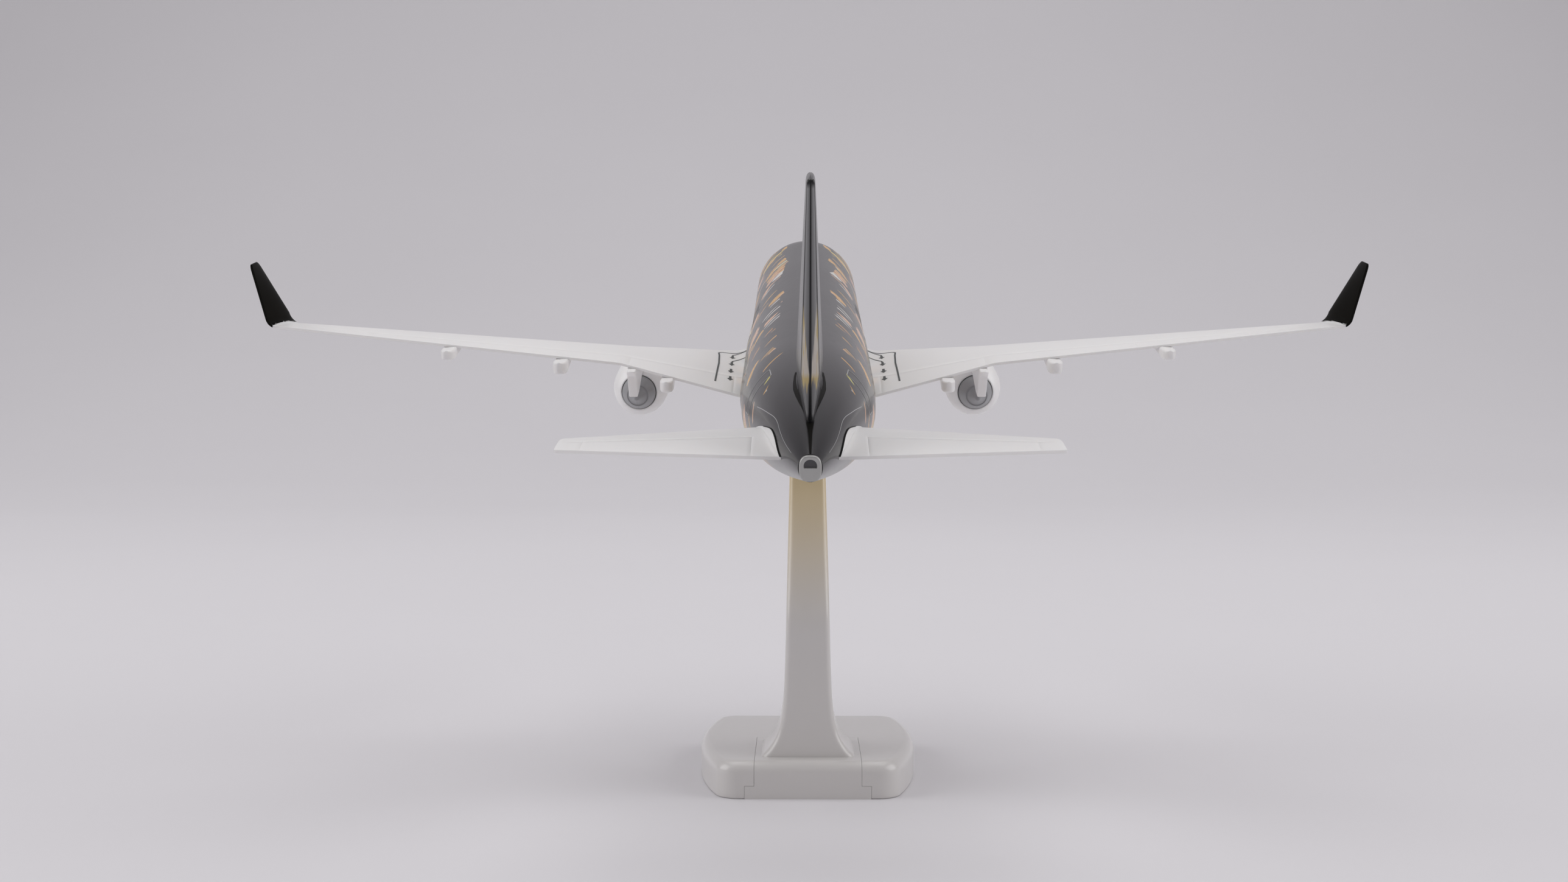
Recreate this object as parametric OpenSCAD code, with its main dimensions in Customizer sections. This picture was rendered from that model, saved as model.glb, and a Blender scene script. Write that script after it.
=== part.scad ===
// Desk model of a twin-engined airliner climbing away from its plastic stand.
// Sizes are millimetres of the model, which is 1:200. +Y is the nose, +Z is up,
// and the origin is the middle of the stand's underside.
// The aircraft is drawn level in a frame of its own, with the nose tip at its origin and each
// place given as "aft", the distance behind the nose. in_flight() then sets it on the stand.

/* [Attitude on the stand] */
// Angle of the nose above level
climb = 12.25; // [8:0.25:16]
// How far the aircraft's seat is in front of the middle of the base
seat_y = 3.7; // [0:0.1:8]
// Height of the aircraft's seat above the table
seat_z = 56.5; // [50:0.5:64]

/* [Fuselage] */
// Length from the nose tip to the tail outlet
body_len = 187.8; // [184:0.1:192]
// Width of the cabin section
body_w = 19.75; // [19:0.05:20.5]
// Height of the cabin section
body_h = 20.7; // [20:0.05:21.5]
// Wall of the two moulded halves
skin = 1.6; // [1.2:0.1:1.8]
// How far aft the stand's peg enters the belly
seat_aft = 98.5; // [97:0.5:101]

/* [Wings and tail] */
// Half span to the bend of the winglet
half_span = 85; // [82:0.5:87]
// Distance aft of the wing's leading edge, carried to the middle of the body
wing_aft = 59.5; // [57:0.5:61]
// Sweep of the wing's leading edge
wing_sweep = 27.5; // [25:0.5:30]
// Length of the winglet's upright blade
winglet_h = 9.2; // [8:0.1:11]
// Half span of the tailplane
tail_span = 31; // [28:0.5:34]
// Height of the fin's tip above the cabin's centre line
fin_top = 38.3; // [36:0.1:40]

/* [Engines] */
// Distance of each engine from the middle
engine_x = 30.3; // [29.5:0.1:31]
// Depth of the engine's axis below the cabin's centre line
engine_drop = 10.55; // [10.3:0.05:10.8]
// Largest radius of the nacelle
nacelle_r = 5; // [4.9:0.05:5.2]

/* [Stand] */
// Length of the base, front to back
base_len = 43.5; // [41:0.5:48]
// Width of the base where it is widest
base_w = 35.5; // [34:0.5:40]
// Thickness of the base
base_h = 5.8; // [5.4:0.1:7]
// Clearance round each sliding or plugged joint
fit = 0.1; // [0.05:0.01:0.15]

/* [Hidden] */
$fn = 48;
tiny = 0.02;
far = 1000;
left = -1;
right = 1;

// Fuselage: the nose fills out over nose_len and the tail tapers from tail_start.
nose_len = 28;
nose_round = 0.55;
nose_crown = 0.78;
tail_len = 52.8;
tail_start = body_len - tail_len;
sweep_lead = 3.5;
sweep_start = tail_start - sweep_lead;
sweep_bend = 0.12;
nose_z = -3;
outlet_w = 2.75;
outlet_top = 5.7;
outlet_low = 2.45;
tail_narrowing = 1.6;
tail_crown = 2.6;
outlet_len = 1.6;
recess = 1.1;
recess_share = 0.72;
nose_steps = 9;
tail_steps = 11;
ring_points = 36;

// Bulge of the body where the wings and the stand's peg meet it
belly_lead = 11;
belly_front = wing_aft - belly_lead;
belly_len = 77;
belly_back = belly_front + belly_len;
belly_side = 3;
belly_deep = 2.15;
belly_low = -body_h / 2 - belly_deep;
belly_flat = 0.6;
belly_square = 0.75;
belly_steps = 14;
belly_ramp = 19;

// Bosses and pins that line up the two halves
boss_r = 1.9;
boss_sides = 16;
pin_r = 0.8;
pin_len = 2;
boss_wall = 0.75;
boss_off = [6, -3.5, -9, 10];
boss_aft = [nose_len, wing_aft, tail_start, tail_start] + boss_off;
cavity_start = 4.8;
cavity_tail = 28;
cavity_end = tail_start + cavity_tail;

// Peg of the stand and its socket in the belly
peg_w = 3.6;
peg_l = 7;
peg_h = 8;
socket_wall = 1.6;

// Wing sections, from the body out to the winglet
kink_x = 31.65;
root_x = 7;
root_back = 35.8;
root_te = wing_aft + root_back;
kink_back = 35.15;
kink_te = wing_aft + kink_back;
tip_chord = 6.7;
root_te_z = -8.2;
kink_te_z = -1.55;
tip_te_z = 7.55;
root_thick = 3.9;
kink_thick = 2.1;
tip_thick = 0.75;
root_rise = 1.85;
kink_rise = -1;
tip_rise = -0.6;
camber = 0.24;
wing_te = 0.4;
tongue_back = 12.5;
tongue_aft = wing_aft + tongue_back;
tongue_l = 15;
tongue_h = 1.3;
tongue_z = -7.4;
tongue_end = 0.6;
tongue_out = 13;

// Winglet: its root bends up through winglet_bend and its end stands at winglet_cant. The bend is skewed,
// so its front starts further in by winglet_toe.
winglet_cant = 80;
wing_cant = 9.5;
winglet_bend = 1.6;
winglet_toe = 2;
winglet_steps = 5;
fold_chord = 7.7;
winglet_chord = 3.75;
winglet_back = 1.6;
winglet_thick = 0.4;
winglet_root = 4;
winglet_cap = 1;
joint_in = 1.6;
joint_x = half_span - joint_in;
joint_turn = 16;

// Tailplane and fin
tail_root_len = 18.3;
tail_root_gap = 11;
tail_te = body_len - tail_root_gap;
tail_le = tail_te - tail_root_len;
tail_sweep = 32;
tail_te_sweep = 14;
tail_dihedral = 5.4;
tail_z = 2.5;
tail_root_x = 3;
tail_tongue_in = 1.3;
tail_tongue_out = 8;
tail_tongue_back = 7;
tail_tongue_aft = tail_le + tail_tongue_back;
tail_tongue_l = 5;
tail_tongue_z = 2.5;
tail_tongue_h = 0.9;
tail_thick = 2;
tail_tip_thick = 0.8;
tail_rise = -0.2;
tail_cap = 0.6;
tail_cap_thick = 0.5;
tail_cap_trim = 0.5;
fin_root_z = 7;
fin_root_len = 29.3;
fin_root_gap = 9.5;
fin_tip_len = 10.7;
fin_tip_gap = 2.1;
fin_te = body_len - fin_root_gap;
fin_le = fin_te - fin_root_len;
fin_tip_te = body_len - fin_tip_gap;
fin_tip_le = fin_tip_te - fin_tip_len;
fin_root_thick = 3.1;
fin_root_edge = 0.3;
fin_waist_z = 14;
fin_waist_edge = 2.35;
fin_waist = (fin_waist_z - fin_root_z) / (fin_top - fin_root_z);
fin_tip_thick = 0.75;
fin_tip_edge = 1;
fin_cap = 0.7;
fin_cap_w = 0.5;
fin_cap_trim = 1.4;
fin_cap_round = 0.5;

// Engine: places along the nacelle are measured from its front
nacelle_lead = 3.5;
nacelle_front = wing_aft - nacelle_lead;
lip_len = 1.8;
nacelle_len = 19.2;
nacelle_steps = 14;
duct_r = 3.95;
lip_r = 4.6;
exit_r = 3.35;
duct_end = 16;
exit_wall = 0.2;
nacelle_shoulder = 7;
widest_at = 8;
fan_at = 4;
fan_hub = 0.8;
blades = 18;
blade_w = 0.32;
blade_h = 0.8;
blade_gap = 0.15;
spinner_r = 1.2;
spinner_tip = 0.15;
spinner_out = 1.6;
core_at = 12;
core_plate = 1;
core_r = 3.02;
core_past = 0.5;
nozzle_r = 1.95;
nozzle_past = 2.9;
cone_r = 1.35;
cone_inset = 0.7;
cone_tip = 0.35;
cone_past = 5.6;
pylon_w = 1.65;
pylon_seat = 4.45;
pylon_in = 6;
pylon_front = nacelle_front + pylon_in;
pylon_len = 10;
pylon_back = pylon_front + pylon_len;
pylon_rake = 2;
pylon_crest = 0.8;
pylon_nose = 0.6;
pylon_lift = 0.1;
pylon_tip_low = 5.1;
pylon_short = 11.65;
pylon_tip = kink_te - pylon_short;

// Fairings under the wing: how far out, how far aft and how deep each one is
fairing_x = [23.7, 41.2, 58.8];
fairing_r = [1.15, 1.2, 1.15];
fairing_l = [19, 16, 14];
fairing_deep = [1.9, 2, 1.6];
fairing_past = 3.4;
fairing_stern = 2.2;
fairing_nose = 0.6;
fairing_drop = 0.9;
trim_up = 8;

// Deep keel behind the pylon: each corner is set by how far ahead of the wing's edge and how low it is
keel_x = 29.7;
keel_w = 1.45;
keel_side = [
    [-2.6, 0.35], [-0.7, 1.55], [1.9, 5.6], [4.7, 5.35], [12.5, 3.35], [17.6, 2.4], [17.6, -2], [0.5, -2],
    [0.5, 0.22]
];
seam = 0.03;

// Stand: an upside-down T on the arm's foot slides into the base from behind
base_widest = 3.2;
base_narrowing = 0.0066;
base_corner = 4;
base_round = 1.8;
base_steps = 12;
base_layer = 0.05;
foot_l = 21;
foot_w = 19.7;
foot_h = 2;
neck_w = 16.7;
arm_in = 3.85;
arm_back = arm_in - base_len / 2;
arm_l = 9.6;
arm_low_w = 7.8;
arm_top_w = 5.6;
flare_w = 7.1;
flare_l = 6;
flare_h = 2.9;
lean_from = 27;
lean_power = 1.35;
arm_square = 0.6;
arm_points = 28;
arm_steps = 17;
arm_spread = 1.4;
arm_end = 4;

// Where the nose fills to, and how far the tail has tapered, at a place aft
function filled(aft, power) = pow(1 - pow(1 - min(aft / nose_len, 1), 2), power);
function tapered(aft, power) = pow(max(share(aft, tail_start, body_len), 0), power);
function half_w(aft) = body_w / 2 * filled(aft, nose_round)
    - (body_w - outlet_w) / 2 * tapered(aft, tail_narrowing);
function top_z(aft) = nose_z + (body_h / 2 - nose_z) * filled(aft, nose_crown)
    - (body_h / 2 - outlet_top) * tapered(aft, tail_crown);
function low_z(aft) = nose_z - (body_h / 2 + nose_z) * filled(aft, nose_round)
    + (body_h / 2 + outlet_low) * swept(aft);

// How far the tail's underside has swept up: a straight slope that starts with a soft bend
function soft(t) = sqrt(t * t + sweep_bend * sweep_bend) - sweep_bend;
function swept(aft) = soft(max(share(aft, sweep_start, body_len), 0)) / soft(1);

// The belly's bulge swells up over belly_ramp at its front and back ends.
function swell_in(t) = (1 - cos(180 * min(max(t, 0), 1))) / 2;
function bulge(aft) = swell_in((aft - belly_front) / belly_ramp)
    * swell_in((belly_back - aft) / belly_ramp);

// Ring of points round the body's skin, or that far inside it without the bulge
function body_ring(aft, inset) = let (
    mid = (top_z(aft) + low_z(aft)) / 2,
    high = (top_z(aft) - low_z(aft)) / 2 - inset,
    swell = inset > 0 ? 0 : bulge(aft)
) [
    for (i = [0 : ring_points - 1]) let (
        turn = 360 * i / ring_points,
        down = max(-cos(turn), 0),
        low = swell * (belly_deep * pow(down, belly_flat) + high * (pow(down, belly_square) - down))
    ) [
        (half_w(aft) - inset + swell * belly_side * sqrt(down)) * sin(turn), -aft,
        mid + high * cos(turn) - low
    ]
];
function power_of(v, power) = sign(v) * pow(abs(v), power);

// Wing-like section at a place: chord, thickness, and the lean of its plane for a winglet
aerofoil_points = 11;
function half_thick(c) = 1.48 * sqrt(c) - 0.63 * c - 1.758 * c * c + 1.4215 * pow(c, 3)
    - 0.5075 * pow(c, 4);
function along(i) = (1 - cos(180 * i / aerofoil_points)) / 2;
function section(x, le, z, chord, thick, edge, lean, rise) = [
    for (i = [0 : 2 * aerofoil_points - 1]) let (
        upper = i <= aerofoil_points,
        c = along(upper ? i : 2 * aerofoil_points - i),
        half = thick * half_thick(c) + edge / 2 * c,
        bow = camber * thick * c * (1 - c),
        up = bow + (upper ? half : -half) + rise * (1 - c)
    ) [x - up * sin(lean), -le - chord * c, z + up * cos(lean)]
];

function wing_le(x) = wing_aft + x * tan(wing_sweep);
function share(x, from, to) = (x - from) / (to - from);
function mix(a, b, t) = a + (b - a) * t;
function te_at(x) = x < kink_x ? mix(root_te, kink_te, share(x, root_x, kink_x))
    : mix(kink_te, wing_le(half_span) + tip_chord, share(x, kink_x, half_span));
function te_z_at(x) = x < kink_x ? mix(root_te_z, kink_te_z, share(x, root_x, kink_x))
    : mix(kink_te_z, tip_te_z, share(x, kink_x, half_span));
function wing_thick(x) = x < kink_x ? mix(root_thick, kink_thick, share(x, root_x, kink_x))
    : mix(kink_thick, tip_thick, share(x, kink_x, half_span));
function wing_rise(x) = x < kink_x ? mix(root_rise, kink_rise, share(x, root_x, kink_x))
    : mix(kink_rise, tip_rise, share(x, kink_x, half_span));
function wing_chord(x) = te_at(x) - wing_le(x);
function wing_section(x) = section(x, wing_le(x), te_z_at(x), wing_chord(x), wing_thick(x), wing_te, 0,
    wing_rise(x));

module in_flight() {
    translate([0, seat_y, seat_z]) rotate([climb, 0, 0]) translate([0, seat_aft, -belly_low]) children();
}

// Skin stretched from each ring of points to the next one
module loft(rings) {
    count = len(rings[0]);
    ends = [[for (i = [0 : count - 1]) i], [for (i = [0 : count - 1]) 2 * count - 1 - i]];
    for (i = [0 : len(rings) - 2])
        hull() polyhedron(points = concat(rings[i], rings[i + 1]), faces = ends);
}

module mirrored(side) {
    scale([side, 1, 1]) children();
}

module one_side(side) {
    translate([side > 0 ? far / 2 : -far / 2, 0, 0]) cube(far, center = true);
}

module fuselage_skin(inset, from, to) {
    nose = [for (i = [0 : nose_steps]) nose_len * pow(i / nose_steps, 2)];
    front = [for (aft = nose) if (aft > from) aft];
    middle = [for (i = [0 : belly_steps]) mix(belly_front, belly_back, i / belly_steps)];
    back = [for (i = [0 : tail_steps]) mix(sweep_start, to, i / tail_steps)];
    places = concat([max(from, tiny)], front, inset > 0 ? [] : middle, back);
    loft([for (aft = places) body_ring(aft, inset)]);
}

module body_shape() {
    fuselage_skin(0, 0, body_len - outlet_len);
}

// Fin: a sharp-tailed root section sunk in the body, a blunt one above it, the tip and its rounded cap
module fin() {
    function fin_ring(z, le, te, thick, edge) = [
        for (p = section(0, le, 0, te - le, thick, edge, 0, 0)) [p[2], p[1], z]
    ];
    function fin_thick(t) = mix(fin_root_thick, fin_tip_thick, t);
    loft([
        fin_ring(fin_root_z, fin_le, fin_te, fin_root_thick, fin_root_edge),
        fin_ring(fin_waist_z, mix(fin_le, fin_tip_le, fin_waist), mix(fin_te, fin_tip_te, fin_waist),
            fin_thick(fin_waist), fin_waist_edge),
        fin_ring(fin_top - fin_cap, fin_tip_le, fin_tip_te, fin_tip_thick, fin_tip_edge),
        fin_ring(fin_top, fin_tip_le + fin_cap_trim, fin_tip_te - fin_cap_round, fin_cap_w, fin_cap_w)
    ]);
}

// Flat tongue of a wing or tailplane, or the slot for it when it is grown by a clearance
module tongue(side, inner, outer, aft, long, low, high, clearance) {
    mirrored(side) translate([inner - clearance, -aft - long - clearance, low - clearance])
        cube([outer - inner + clearance, long + 2 * clearance, high + 2 * clearance]);
}

module wing_tongue(side, clearance) {
    tongue(side, tongue_end, tongue_out, tongue_aft, tongue_l, tongue_z, tongue_h, clearance);
}

module tail_tongue(side, clearance) {
    tongue(side, tail_tongue_in, tail_tongue_out, tail_tongue_aft, tail_tongue_l, tail_tongue_z,
        tail_tongue_h, clearance);
}

module bosses(radius, length) {
    for (aft = boss_aft)
        translate([0, -aft, 0]) rotate([0, 90, 0])
            cylinder(r = radius, h = length, center = true, $fn = boss_sides);
}

// One moulded half with its half of the fin, cut by the slots and the peg's socket
module fuselage_half(side) {
    color("#1b1b1d")
    in_flight() difference() {
        intersection() {
            union() {
                difference() {
                    body_shape();
                    fuselage_skin(skin, cavity_start, cavity_end);
                }
                bosses(boss_r, body_w - 2 * boss_wall * skin);
                socket_block();
                fin();
            }
            one_side(side);
        }
        socket_hole();
        wing_tongue(side, fit);
        tail_tongue(side, fit);
        if (side > 0) bosses(pin_r + fit, 2 * pin_len + 2 * fit);
    }
    if (side < 0) color("#1b1b1d") in_flight() bosses(pin_r, 2 * pin_len);
}

module socket_block() {
    wide = peg_w + 2 * socket_wall;
    long = peg_l + 2 * socket_wall;
    translate([-wide / 2, -seat_aft - long / 2, belly_low + socket_wall / 2])
        cube([wide, long, peg_h + socket_wall]);
}

module socket_hole() {
    translate([-peg_w / 2 - fit, -seat_aft - peg_l / 2 - fit, belly_low - tiny])
        cube([peg_w + 2 * fit, peg_l + 2 * fit, peg_h + 2 * fit + tiny]);
}

module outlet_outline() {
    polygon([for (i = [0 : ring_points - 1]) let (turn = 360 * i / ring_points)
        [outlet_w / 2 * sin(turn), (outlet_top - outlet_low) / 2 * cos(turn)]]);
}

// Silver ring of the outlet in the tail, with its blind recess
module tail_outlet() {
    color("#a9abae")
    in_flight() translate([0, -body_len, (outlet_top + outlet_low) / 2]) rotate([-90, 0, 0])
        difference() {
            linear_extrude(outlet_len) outlet_outline();
            translate([0, 0, -tiny]) linear_extrude(recess + tiny) scale(recess_share) outlet_outline();
        }
}

module wing_shape(inner) {
    loft([wing_section(inner), wing_section(kink_x), wing_section(half_span)]);
}

function bend_rings() = [for (i = [0 : winglet_steps]) winglet_section(winglet_arc * i / winglet_steps)];

// Keeps what lies inboard of the slanted joint between wing and winglet, or what lies outboard
module inboard(keep) {
    translate([joint_x, -wing_le(joint_x), 0]) rotate(joint_turn)
        translate([keep ? -far : 0, -far / 2, -far / 2]) cube(far);
}

module wing(side) {
    color("#f2f2f0")
    in_flight() {
        difference() {
            intersection() {
                mirrored(side) loft(concat(
                    [wing_section(root_x), wing_section(kink_x), wing_section(half_span - winglet_root)],
                    bend_rings()
                ));
                mirrored(side) inboard(true);
            }
            body_shape();
        }
        wing_tongue(side, 0);
    }
}

// The winglet's line: it turns up through winglet_bend at the wing's end and then runs straight.
winglet_arc = winglet_bend * (winglet_cant - wing_cant) * PI / 180;
function winglet_lean(run) = mix(wing_cant, winglet_cant, min(max(run / winglet_arc, 0), 1));
function winglet_x(run) = let (blade = max(run - winglet_arc, 0))
    half_span + winglet_bend * (sin(winglet_lean(run)) - sin(wing_cant)) + blade * cos(winglet_cant);
function winglet_z(run) = let (blade = max(run - winglet_arc, 0))
    tip_te_z + winglet_bend * (cos(wing_cant) - cos(winglet_lean(run))) + blade * sin(winglet_cant);
function winglet_section(run) = let (
    t = run / (winglet_arc + winglet_h),
    chord = mix(fold_chord, winglet_chord, t),
    te = te_at(half_span) + winglet_back * t,
    toe = winglet_toe * (1 - t),
    wing_left = 1 - min(run / winglet_arc, 1),
    ring = section(winglet_x(run), te - chord, winglet_z(run), chord, mix(tip_thick, winglet_thick, t), wing_te,
        run > 0 ? winglet_lean(run) : 0, tip_rise * wing_left)
) [for (p = ring) let (ahead = (te + p[1]) / chord)
    p - toe * ahead * [1, 0, wing_left * tan(wing_cant)]];

module winglet(side) {
    color("#17171a")
    in_flight() intersection() {
        mirrored(side) loft(concat(
            [wing_section(half_span - winglet_root)],
            bend_rings(),
            [for (cap = [winglet_cap, 0]) winglet_section(winglet_arc + winglet_h - cap)]
        ));
        mirrored(side) inboard(false);
    }
}

// Slim canoe with a blunt stern under the trailing edge, cut by the wing that it hangs from
module flap_fairing(i) {
    x = fairing_x[i];
    back = te_at(x) + fairing_past;
    deck = te_z_at(x) - wing_te / 2;
    hull() {
        translate([x, fairing_stern - back, deck - fairing_deep[i]])
            scale([fairing_r[i], fairing_stern, 1]) cylinder(r = 1, h = fairing_deep[i], $fn = 24);
        translate([x, fairing_l[i] - back - fairing_nose, deck - fairing_drop])
            sphere(fairing_nose, $fn = 18);
    }
}

// The wing with the space above it and a hair of clearance below it
module over_wing() {
    for (run = [[root_x, kink_x], [kink_x, half_span]])
        hull() for (up = [-seam, trim_up])
            translate([0, 0, up]) loft([for (x = run) wing_section(x)]);
}

module keel() {
    on_edge(keel_x, keel_w) polygon([for (p = keel_side) [p[0] - te_at(keel_x), te_z_at(keel_x) - p[1]]]);
}

module flap_fairings(side) {
    color("#f2f2f0")
    in_flight() mirrored(side) {
        for (i = [0 : len(fairing_x) - 1]) difference() {
            flap_fairing(i);
            over_wing();
        }
        difference() {
            keel();
            over_wing();
            pylon_blade(pylon_w + 2 * trim_up, fit);
        }
    }
}

module tailplane(side) {
    function tail_section(x, thick, trim) = let (
        le = tail_le + x * tan(tail_sweep) + trim,
        te = tail_te + x * tan(tail_te_sweep) - trim / 4
    ) section(x, le, tail_z + x * tan(tail_dihedral), te - le, thick, wing_te, 0, tail_rise);
    color("#f2f2f0")
    in_flight() {
        difference() {
            mirrored(side) loft([
                tail_section(tail_root_x, tail_thick, 0),
                tail_section(tail_span - tail_cap, tail_tip_thick, 0),
                tail_section(tail_span, tail_cap_thick, tail_cap_trim)
            ]);
            body_shape();
        }
        tail_tongue(side, 0);
    }
}

module at_engine(side) {
    in_flight() translate([side * engine_x, -nacelle_front, -engine_drop]) rotate([90, 0, 0]) children();
}

function nacelle_edge(s) = s < widest_at
    ? nacelle_r - (nacelle_r - lip_r) * pow(share(s, widest_at, lip_len), 2)
    : nacelle_r - (nacelle_r - exit_r) * pow(share(s, widest_at, nacelle_len), nacelle_shoulder);

// Cowl whose duct narrows behind the fan, with a slot for the pylon on top
module nacelle(side) {
    color("#f2f2f0")
    difference() {
        at_engine(side) rotate_extrude() polygon(concat(
            [[exit_r - exit_wall, nacelle_len], [duct_r, duct_end], [duct_r, lip_len]],
            [for (i = [0 : nacelle_steps]) let (s = mix(lip_len, nacelle_len, i / nacelle_steps))
                [nacelle_edge(s), s]]
        ));
        in_flight() mirrored(side) pylon_blade(pylon_w + fit, fit / 2);
    }
}

module intake_lip(side) {
    mid = (lip_r + duct_r) / 2;
    color("#c9cbcd")
    at_engine(side) rotate_extrude() polygon(concat(
        [for (a = [0 : 15 : 180]) [mid + (lip_r - duct_r) / 2 * cos(a), lip_len * (1 - sin(a))]]
    ));
}

module fan(side) {
    color("#55575b")
    at_engine(side) translate([0, 0, fan_at]) {
        translate([0, 0, blade_h]) cylinder(r = duct_r, h = fan_hub);
        for (i = [0 : blades - 1]) rotate(360 * i / blades)
            translate([0, -blade_w / 2, 0]) cube([duct_r - blade_gap, blade_w, blade_h + tiny]);
        translate([0, 0, -spinner_out])
            cylinder(r1 = spinner_tip, r2 = spinner_r, h = spinner_out + blade_h + tiny);
    }
}

// Core with its nozzle and cone, on the plate that closes the duct
module exhaust(side) {
    function past(s) = nacelle_len - core_at + s;
    color("#8d9094")
    at_engine(side) translate([0, 0, core_at]) rotate_extrude() polygon([
        [0, 0], [duct_r, 0], [duct_r, core_plate], [core_r, core_plate], [core_r, past(core_past)],
        [nozzle_r, past(nozzle_past)], [cone_r, past(nozzle_past)],
        [cone_r, past(nozzle_past - cone_inset)], [cone_tip, past(cone_past)], [0, past(cone_past)]
    ]);
}

// The pylon's side view made that thick and grown by a clearance
module pylon_blade(thick, grow) {
    axis = -engine_drop;
    exit = nacelle_front + nacelle_len;
    le = wing_le(engine_x);
    le_z = te_z_at(engine_x) + wing_rise(engine_x);
    on_edge(engine_x, thick) polygon([
        [2 * grow - pylon_front, axis + pylon_seat - grow],
        [2 * grow - pylon_front - pylon_rake, axis + nacelle_r + pylon_crest],
        [grow - le - pylon_nose, le_z],
        [-pylon_tip - grow, le_z],
        [-pylon_tip - grow, axis + pylon_tip_low - grow],
        [-exit, axis + exit_r + pylon_lift - grow],
        [-pylon_back, axis + pylon_seat - grow]
    ]);
}

// Stands a side view up across a place, so that its first axis runs forward and its second one up
module on_edge(x, thick) {
    translate([x - thick / 2, 0, 0])
        multmatrix([[0, 0, 1, 0], [1, 0, 0, 0], [0, 1, 0, 0], [0, 0, 0, 1]])
        linear_extrude(thick) children();
}

// Thin blade from the nacelle's slot back under the wing
module pylon(side) {
    color("#f2f2f0")
    in_flight() mirrored(side) difference() {
        pylon_blade(pylon_w, 0);
        over_wing();
    }
}

// Plan of the base: bowed sides that are widest near the front, with rounded corners
module base_outline(inset) {
    side_x = [for (i = [0 : base_steps]) let (y = mix(-base_len / 2, base_len / 2, i / base_steps))
        [base_w / 2 - base_narrowing * pow(y - base_widest, 2), y]];
    offset(r = base_corner) offset(delta = -base_corner - inset)
        polygon(concat(side_x, [for (i = [base_steps : -1 : 0]) [-side_x[i][0], side_x[i][1]]]));
}

// The foot's upside-down T, or the slot for it, which is grown and opens behind, below and above
module foot(clearance) {
    past = clearance > 0 ? 1 : 0;
    for (part = [[foot_w, foot_h], [neck_w, base_h]])
        translate([-part[0] / 2 - clearance, -base_len / 2 - past, -past])
            cube([part[0] + 2 * clearance, foot_l + past + clearance, part[1] + past + clearance]);
}

module stand_base() {
    color("#f4f4f2")
    difference() {
        hull() for (a = [0 : 15 : 90])
            translate([0, 0, a == 0 ? 0 : base_h - base_round * (1 - sin(a)) - base_layer])
                linear_extrude(a == 0 ? base_h - base_round : base_layer)
                    base_outline(base_round * (1 - cos(a)));
        foot(fit);
    }
}

// The arm stands straight at first and then leans forward to meet the belly.
function flare(z) = exp(-max(z - base_h, 0) / flare_h);
function arm_width(z) = mix(arm_low_w, arm_top_w, share(z, base_h, seat_z)) + flare_w * flare(z);
function arm_length(z) = arm_l + flare_l * flare(z);
function arm_lean(z) = pow(max(share(z, lean_from, seat_z), 0), lean_power);
function arm_mid(z) = mix(arm_back + arm_l / 2, seat_y, arm_lean(z)) + (arm_length(z) - arm_l) / 2;
function arm_ring(z) = [
    for (i = [0 : arm_points - 1]) let (turn = 360 * i / arm_points) [
        arm_width(z) / 2 * power_of(sin(turn), arm_square),
        arm_mid(z) + arm_length(z) / 2 * power_of(cos(turn), arm_square), z
    ]
];

// A point of the aircraft's own frame, where it stands in flight
function flown(p) = let (y = p[1] + seat_aft, z = p[2] - belly_low)
    [p[0], seat_y + y * cos(climb) - z * sin(climb), seat_z + y * sin(climb) + z * cos(climb)];

module stand_arm() {
    top = seat_z - arm_end;
    heights = [for (i = [0 : arm_steps]) mix(base_h - 1, top, pow(i / arm_steps, arm_spread))];
    seat = [for (p = arm_ring(top)) flown([p[0], p[1] - arm_mid(top) - seat_aft, belly_low - tiny])];
    color("#f4f4f2") {
        foot(0);
        loft(concat([for (z = heights) arm_ring(z)], [seat]));
        in_flight() translate([-peg_w / 2, -seat_aft - peg_l / 2, belly_low - 1])
            cube([peg_w, peg_l, peg_h + 1]);
    }
}

stand_base();
stand_arm();
fuselage_half(left);  // fuselage_left_half
fuselage_half(right);  // fuselage_right_half
tail_outlet();
wing(left);  // left_wing
wing(right);  // right_wing
winglet(left);  // left_winglet
winglet(right);  // right_winglet
flap_fairings(left);  // left_flap_fairings
flap_fairings(right);  // right_flap_fairings
tailplane(left);  // left_tailplane
tailplane(right);  // right_tailplane
pylon(left);  // left_pylon
pylon(right);  // right_pylon
nacelle(left);  // left_nacelle
nacelle(right);  // right_nacelle
intake_lip(left);  // left_intake_lip
intake_lip(right);  // right_intake_lip
fan(left);  // left_fan
fan(right);  // right_fan
exhaust(left);  // left_exhaust
exhaust(right);  // right_exhaust
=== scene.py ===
import bpy
from math import asin, atan, ceil, copysign, cos, dist, exp, hypot, inf, pi, radians, sin, sqrt, tan
from mathutils import Matrix, Vector


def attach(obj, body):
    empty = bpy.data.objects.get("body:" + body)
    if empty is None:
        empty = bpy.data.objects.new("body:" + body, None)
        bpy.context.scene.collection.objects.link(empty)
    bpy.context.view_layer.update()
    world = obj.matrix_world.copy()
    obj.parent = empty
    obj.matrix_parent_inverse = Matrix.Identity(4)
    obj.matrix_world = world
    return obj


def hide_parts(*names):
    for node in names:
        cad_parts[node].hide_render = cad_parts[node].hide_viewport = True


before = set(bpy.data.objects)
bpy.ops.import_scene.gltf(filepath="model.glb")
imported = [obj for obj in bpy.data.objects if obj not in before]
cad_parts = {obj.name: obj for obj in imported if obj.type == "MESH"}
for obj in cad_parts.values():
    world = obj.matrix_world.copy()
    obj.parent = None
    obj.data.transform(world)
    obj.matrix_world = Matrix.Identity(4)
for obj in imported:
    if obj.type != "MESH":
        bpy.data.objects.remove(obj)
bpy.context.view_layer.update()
print("frame loaded with", len(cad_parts), "CAD nodes")

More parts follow.
